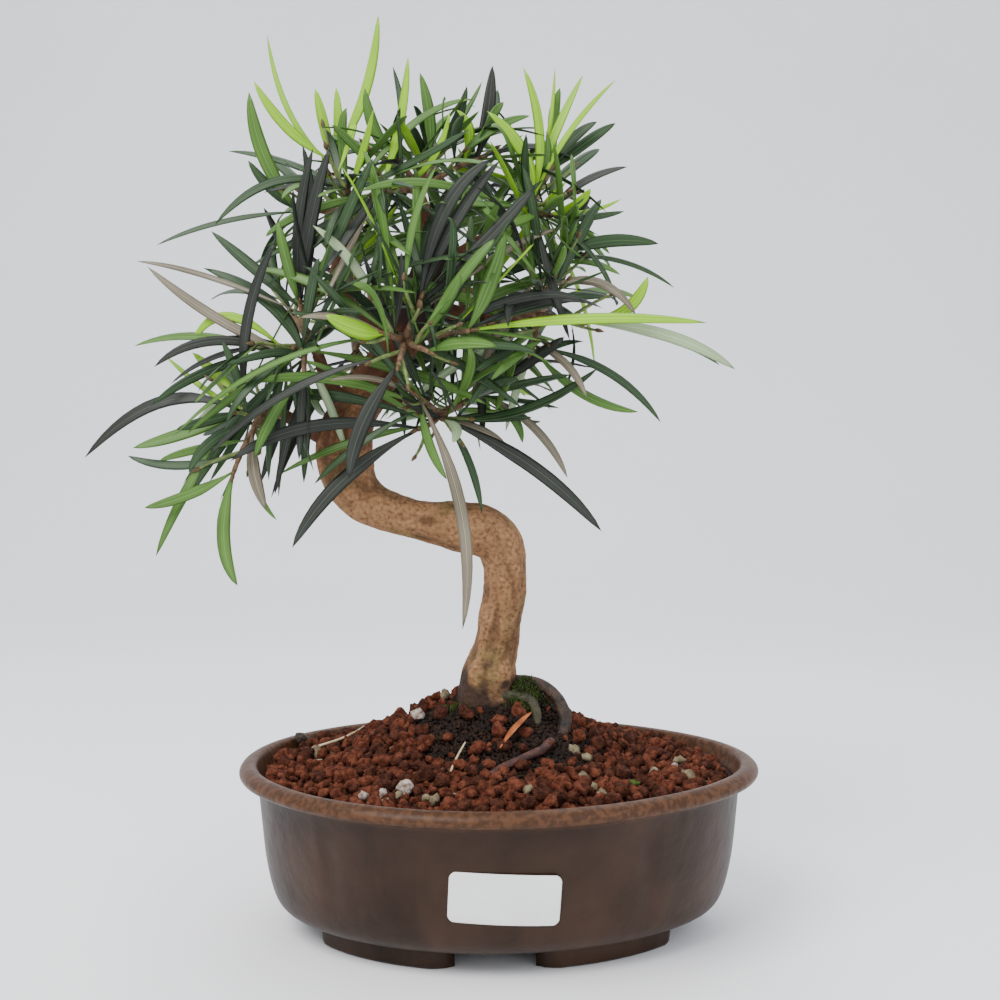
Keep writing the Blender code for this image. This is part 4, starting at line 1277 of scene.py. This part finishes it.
@dataclass
class Wood:
    """The trunk, its bare roots and the boughs, with the bark's relief."""
    sides: int = 108
    stations: int = 460
    lobes: int = 5
    flare: float = 0.09
    flare_from: float = 86.0
    flare_reach: float = 26.0
    ridge: float = 0.6
    bough_sides: int = 40
    bough_stations: int = 70
    bough_ridge: float = 0.28
    root_sides: int = 36
    root_stations: int = 130
    root_ridge: float = 0.42
    trail_sides: int = 28
    trail_stations: int = 110
    trail_ridge: float = 0.35
    wet_top: float = 103.5
    wet_span: float = 9.0
    # Where the painted shade inside the crown is centred, by the long-cut top, and how far it reaches
    old_centre: tuple = (-27.0, 5.0, 262.0)
    old_reach: float = 27.0
    russet_from: float = 178.0
    russet_span: float = 50.0

    def barked(self, rows: np.ndarray, sides: int, ridge: float, seed: float) -> tuple[np.ndarray, ...]:
        """A limb whose skin is moved by noise drawn out along it, so that ridges run lengthwise.

        Args:
            rows: x, y, z and radius along the limb.
            sides: Points round it.
            ridge: How far the noise moves the skin.
            seed: Moves the pattern.

        Returns:
            Rings of points, how hollow each place is, and the row that each ring stands on.
        """
        points = tube(rows, sides)
        stood = np.concatenate((rows[:1], rows, rows[-1:]))
        angle = turns(sides)
        steps = np.concatenate(((0.0,), np.cumsum(np.linalg.norm(np.diff(stood[:, :3], axis=0), axis=1))))
        skin = np.stack((np.cos(angle) * stood[:, 3:4], np.sin(angle) * stood[:, 3:4],
                         np.broadcast_to(steps[:, None] * 0.34, (len(stood), sides))), axis=-1)
        bumps = layered_noise(skin, 0.28, seed, 4)
        knots = lattice_noise(skin, 0.11, seed + 9)
        lift = ridge * bumps + ridge * 0.9 * knots
        out = unit(points - stood[:, None, :3])
        return points + out * lift[..., None], 0.5 - 0.6 * bumps, stood

    def trunk(self) -> bpy.types.Object:
        """The trunk: lobed at its foot, ridged all along, dark where it is wet, and darker round its long-cut
        top inside the crown as painted shade.
        """
        points, hollow, stood = self.barked(smooth_path(TRUNK, self.stations), self.sides, self.ridge, 1.0)
        fade = np.clip(1 - (stood[:, 2:3] - self.flare_from) / self.flare_reach, 0, 1)
        lobed = self.flare * fade * np.cos(self.lobes * turns(self.sides) + 0.7)
        points += (points - stood[:, None, :3]) * lobed[..., None]
        rough = 0.5 * layered_noise(points, 0.12, 4.0)
        wet = np.clip((self.wet_top - points[..., 2]) / self.wet_span + 2.4 * rough, 0, 0.94)
        # Painted shade inside the crown: darkest near its middle, round the long-cut top
        head = np.linalg.norm(points - self.old_centre, axis=-1)
        old = np.clip((self.old_reach - head) / 8 + rough, 0, 1)
        high = (points[..., 2] - self.russet_from) / self.russet_span
        russet = np.clip(high + 0.6 * rough, 0, 0.85)
        return make_piece("trunk_bark", points, hollow=hollow, wet=wet, old=old, russet=russet)

    def bough(self, name: str, limb: Limb, seed: float) -> bpy.types.Object:
        """A bough from inside the trunk to its tip, with the same bark drawn finer.

        Args:
            name: The limb's name.
            limb: Its line and its radii at both ends.
            seed: Moves the bark's pattern.

        Returns:
            The piece.
        """
        last = len(limb.path) - 1
        thick, thin = limb.radii
        nodes = tuple((*point, thick + (thin - thick) * k / last) for k, point in enumerate(limb.path))
        rows = smooth_path(nodes, self.bough_stations)
        points, hollow, _ = self.barked(rows, self.bough_sides, self.bough_ridge, seed)
        flat = np.zeros(points.shape[:-1])
        # The boughs lie inside the crown and take a quarter of its painted shade
        return make_piece("bark_bough_" + name, points, hollow=hollow, wet=flat, old=flat + 0.25,
                          russet=flat + 0.75)

    def build(self) -> None:
        """Makes the trunk, the roots and the boughs."""
        settle(self.trunk(), "bark", BARK, "trunk")
        for name, finish in (("root_outer", ROOT_DARK), ("root_inner", ROOT_GREY)):
            rows = smooth_path(ROOTS[name], self.root_stations)
            points = self.barked(rows, self.root_sides, self.root_ridge, 6.0)[0]
            settle(make_piece("bark_" + name, points), "root_bark", finish, name)
        rows = smooth_path(ROOT_TRAIL, self.trail_stations)
        points = self.barked(rows, self.trail_sides, self.trail_ridge, 3.0)[0]
        settle(make_piece("root_trail", points), "root_bark", ROOT_RED)
        for number, (name, limb) in enumerate(LIMBS.items()):
            settle(self.bough(name, limb, 20.0 + number), "bark", BARK, "bough_" + name)


# The crown

@dataclass
class Crown:
    """The leafy part: twigs that fork from each bough's tip, long leaves, and leaves that fill it."""
    seed: int = 7
    fill_share: float = 4.3
    leaf_pitch: float = 74.0
    pitch_fall: float = 46.0
    shorten: float = 0.86
    fill_lengths: tuple = (0.8, 1.15)
    fill_widths: tuple = (0.70, 0.94)
    twig_rows: int = 22
    twig_sides: int = 7
    twig_knots: float = 22.0
    side_twigs_at: tuple = (0.45, 0.68)
    bud_sides: int = 7
    bud_radius: float = 0.85
    bud_length: float = 4.6

    def __post_init__(self) -> None:
        """Starts the sets of leaves and twigs."""
        self.leaves = {kind: LeafSet() for kind in Leaf}
        self.twigs: dict[str, list] = {"wood": [], "young": []}
        self.buds: list = []
        self.rng = np.random.default_rng(self.seed)

    def inside(self, point: np.ndarray) -> bool:
        """Whether a point is inside the rounded body of the crown or its lower left lobe."""
        out = (point - CROWN_CENTRE) / CROWN_REACH
        ease = (1.0, CROWN_FRONT if out[1] < 0 else 1.0, CROWN_TOP if out[2] > 0 else 1.0)
        body = np.sum((out * ease) ** 2)
        lobe = np.sum(((point - LOBE_CENTRE) / LOBE_REACH) ** 2)
        return bool(min(body, lobe) <= 1.0)

    def kind_for(self, tip: np.ndarray) -> Leaf:
        """A colour by chance: fresher towards the top, darker below, with more charcoal and brown-grey leaves
        below that are partly painted sheen.
        """
        high = float(np.clip((tip[2] - 215) / 110, 0, 1))
        # The charcoal and brown-grey shares, larger below, are partly painted sheen
        weights = np.array((0.01 + 0.12 * high ** 3, 0.20 + 0.42 * high, 0.50 - 0.24 * high,
                            0.22 - 0.16 * high, 0.055 - 0.045 * high, 0.015))
        return tuple(Leaf)[int(self.rng.choice(6, p=weights / weights.sum()))]

    def long_leaf(self, curve: Curve, number: int, row: tuple) -> None:
        """One of a shoot's long leaves, bowed from its root on the shoot to its named tip.

        Args:
            curve: The shoot.
            number: Which of its long leaves it is.
            row: Its tip, its bow, its width and its colour.
        """
        x, y, z, bow_x, bow_z, width, kind = row
        tip = np.array((x, y, z), float)
        forward = float(unit(tip - curve.end) @ unit(curve.end - curve.start))
        place = 0.96 if forward > 0.2 else 0.86 if forward > -0.4 else 0.72
        root = curve.at(place - 0.07 * (number % 4))
        bend = (root + tip) / 2 + np.array((bow_x, 0.0, bow_z)) * 2
        face = VIEWER + self.rng.normal(0, 0.22, 3)
        self.leaves[kind].add(Curve(root, bend, tip), LEAF_WIDTH * width, face)

    def fill_leaf(self, curve: Curve, share: float, phase: float) -> None:
        """A leaf that fills a shoot, shortened until its tip is inside the crown.

        Args:
            curve: The shoot or side twig that it grows on.
            share: How far along the shoot's leaves it comes.
            phase: How far round the shoot it stands.
        """
        place = 0.34 + 0.64 * share
        root = curve.at(place)
        axis = unit(curve.at(min(place + 0.1, 1.0)) - curve.at(place - 0.1))
        side, other = across_from(axis)
        pitch = math.radians(self.leaf_pitch - self.pitch_fall * share + self.rng.uniform(-9, 9))
        outwards = side * math.cos(phase) + other * math.sin(phase)
        heading = axis * math.cos(pitch) + outwards * math.sin(pitch)
        length = FILL_LENGTH * (1.14 - 0.34 * share) * self.rng.uniform(*self.fill_lengths)
        bow = self.rng.normal(0, 0.06, 3) * length
        while length > FILL_SHORTEST:
            droop = np.array((0.0, 0.0, -FILL_DROOP * length * (length / FILL_LENGTH)))
            tip = root + heading * length + droop
            if self.inside(tip):
                bend = root + heading * length * 0.55 + bow + (0.0, 0.0, 0.07 * length)
                face = unit(axis + (0.0, 0.0, 0.4)) + self.rng.normal(0, 0.12, 3)
                width = LEAF_WIDTH * self.rng.uniform(*self.fill_widths)
                self.leaves[self.kind_for(tip)].add(Curve(root, bend, tip), width, face)
                return
            length *= self.shorten

    def twig(self, group: str, curve: Curve, first: float, last: float, swell: float) -> None:
        """A tapering twig along a curve, swollen a little where leaves were.

        Args:
            group: The twigs that it is joined with.
            curve: Its line.
            first: Its radius where it starts.
            last: Its radius where it ends.
            swell: How far it is swollen.
        """
        part = np.linspace(0, 1, self.twig_rows)[:, None]
        radius = first + (last - first) * part + swell * np.abs(np.sin(part * self.twig_knots))
        self.twigs[group].append(tube(np.hstack((curve.at(part), radius)), self.twig_sides))

    def grow(self, name: str, limb: Limb) -> None:
        """One mass: its stem to a hub, a twig to each shoot's end, finer side twigs, and leaves on all.

        Args:
            name: The limb's name.
            limb: Its line, its radii and its shoots.
        """
        before, tip = np.array(limb.path[-2], float), np.array(limb.path[-1], float)
        heading = unit(tip - before)
        ends = [np.array(shoot.tip, float) for shoot in limb.shoots]
        hub = tip + heading * 4.0 + (sum(ends) / len(ends) - tip) * 0.22
        stem = Curve(tip - heading * 1.5, tip + heading * 2.0, hub)
        self.twig("wood", stem, limb.radii[1] * 0.92, TWIG_RADIUS * 1.15, 0.1)
        for shoot, end in zip(limb.shoots, ends):
            curve = Curve(hub, hub + (end - hub) * 0.5 + heading * 3.0, end)
            self.twig("wood", curve, TWIG_RADIUS, TWIG_END, 0.16)
            self.buds.append((end, unit(end - curve.bend)))
            for number, row in enumerate(shoot.long_leaves):
                self.long_leaf(curve, number, row)
            side_ends = self.side_twigs(curve)
            count = int(round(shoot.fill * self.fill_share * FILL_SHARES.get(name, 1.0)))
            phase = self.rng.uniform(0, 2 * math.pi)
            for number in range(count):
                chosen = curve if number % 3 else side_ends[number // 3 % len(side_ends)]
                self.fill_leaf(chosen, (number + 0.5) / count, phase)
                phase += GOLDEN

    def side_twigs(self, curve: Curve) -> list[Curve]:
        """Two finer green twigs that leave a shoot part way and lean outwards.

        Args:
            curve: The shoot.

        Returns:
            Their lines.
        """
        made = []
        axis = unit(curve.end - curve.start)
        for place in self.side_twigs_at:
            start = curve.at(place)
            lean = unit(np.cross(axis, self.rng.normal(size=3)))
            end = start + (axis * 0.8 + lean * 0.55 + (0, 0, 0.15)) * self.rng.uniform(12, 19)
            made.append(Curve(start, (start + end) / 2 + lean * 2.0, end))
            self.twig("young", made[-1], TWIG_END * 1.05, TWIG_END * 0.6, 0.1)
            self.buds.append((end, unit(end - made[-1].bend)))
        return made

    def bud_points(self) -> np.ndarray:
        """The buds: small pointed scales round each twig's end, as drops of a few rings."""
        share, turn = np.linspace(0, 1, 7)[:, None], turns(self.bud_sides)
        radius = self.bud_radius * np.sin(np.pi * share ** 0.75) * (1 + 0.16 * np.cos(3 * turn))
        made = []
        for place, way in self.buds:
            side, other = across_from(way)
            ring = side * (radius * np.cos(turn))[..., None] + other * (radius * np.sin(turn))[..., None]
            made.append(place - way * 0.6 + way * (share * self.bud_length)[..., None] + ring)
        return np.stack(made)

    def build(self) -> None:
        """Grows every mass and joins its parts by kind."""
        masses = ["mass_" + name for name in LIMBS]
        for name, limb in LIMBS.items():
            self.grow(name, limb)
        for kind, leaves in self.leaves.items():
            settle(make_piece(kind.value, *leaves.surfaces()), "leaf", LEAVES[kind], *masses)
            settle(make_piece(kind.value.replace("leaf", "rib"), leaves.ribs()), "leaf", RIBS[kind], *masses)
        for group, finish in (("wood", TWIG), ("young", TWIG_GREEN)):
            settle(make_piece("twigs_" + group, np.stack(self.twigs[group])), "bark", finish, *masses)
        settle(make_piece("buds", self.bud_points()), "bark", BUD, *masses)
        LOG.info("%d leaves", sum(len(leaves.rows) for leaves in self.leaves.values()))


# The studio

@dataclass
class Studio:
    """A pale floor that sweeps up behind, soft light, and the camera at the photograph's angle, in metres."""
    floor_front: float = -2.5
    floor_back: float = 1.0
    floor_side: float = 3.5
    floor_bend: float = 0.8
    floor_wall: float = 3.0
    aim: tuple = (0.0, 0.0, 0.2)
    lamps: tuple = (
        ("key", (-0.6, -0.8, 1.25), 0.8, 26.0, (1.0, 0.985, 0.96)),
        ("fill", (0.9, -0.9, 0.7), 1.0, 6.0, (0.95, 0.975, 1.0)),
        ("top", (0.1, 0.5, 1.4), 1.0, 9.0, (0.97, 0.985, 1.0)),
    )
    air: Colour = (0.93, 0.955, 1.0)
    air_strength: float = 1.15
    lens: float = 46.8
    sensor: float = 36.0
    camera_place: tuple = (0.0298, -0.525, 0.191)
    camera_dip: float = 0.036

    def floor(self) -> None:
        """A sheet that lies flat, then bends up behind the object in a quarter circle."""
        run = np.linspace(0, 1, 90)
        flat, bent = run < 0.5, (run - 0.5) * np.pi
        y = self.floor_front + 2 * (self.floor_back - self.floor_front) * run
        y = np.where(flat, y, self.floor_back + self.floor_bend * np.sin(bent))
        z = np.where(flat, 0.0, self.floor_bend * (1 - np.cos(bent)))
        y, z = np.append(y, y[-1]), np.append(z, z[-1] + self.floor_wall)
        x = np.linspace(-self.floor_side, self.floor_side, 30)
        points = np.stack(np.broadcast_arrays(x, y[:, None], z[:, None]), axis=-1) / MM
        points[..., 0] -= SHIFT
        obj = make_piece("studio_floor", points, wraps=False)
        obj.data.materials.append(PAPER.material())

    def lamp(self, name: str, place: tuple, size: float, watts: float, colour: Colour) -> None:
        """A square soft light that faces the object.

        Args:
            name: Its name.
            place: Where it stands.
            size: Its side.
            watts: Its power.
            colour: Its colour.
        """
        data = bpy.data.lights.new(name, "AREA")
        data.size = size
        data.energy = watts
        data.color = colour
        obj = bpy.data.objects.new(name, data)
        obj.location = place
        way = np.array(self.aim) - np.array(place)
        flat = math.hypot(way[0], way[1])
        obj.rotation_euler = (math.atan2(flat, -way[2]), 0.0, math.atan2(-way[0], way[1]))
        bpy.context.scene.collection.objects.link(obj)

    def camera(self) -> None:
        """The camera in front of the object, turned a little down."""
        data = bpy.data.cameras.new("camera")
        data.lens = self.lens
        data.sensor_width = self.sensor
        data.clip_start = 0.01
        camera = bpy.data.objects.new("camera", data)
        camera.location = self.camera_place
        camera.rotation_euler = (math.pi / 2 - self.camera_dip, 0.0, 0.0)
        bpy.context.scene.collection.objects.link(camera)
        bpy.context.scene.camera = camera

    def build(self) -> None:
        """Sets the floor, lights, world and camera."""
        self.floor()
        for lamp in self.lamps:
            self.lamp(*lamp)
        world = bpy.data.worlds.new("studio_air")
        world.use_nodes = True
        world.node_tree.nodes["Background"].inputs["Color"].default_value = (*self.air, 1.0)
        world.node_tree.nodes["Background"].inputs["Strength"].default_value = self.air_strength
        bpy.context.scene.world = world
        self.camera()


def main() -> None:
    """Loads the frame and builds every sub-assembly."""
    logging.basicConfig(level=logging.INFO, format="%(message)s")
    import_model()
    for part in (Pot(), Soil(), Wood(), Crown(), Studio()):
        part.build()


if __name__ == "__main__":
    main()
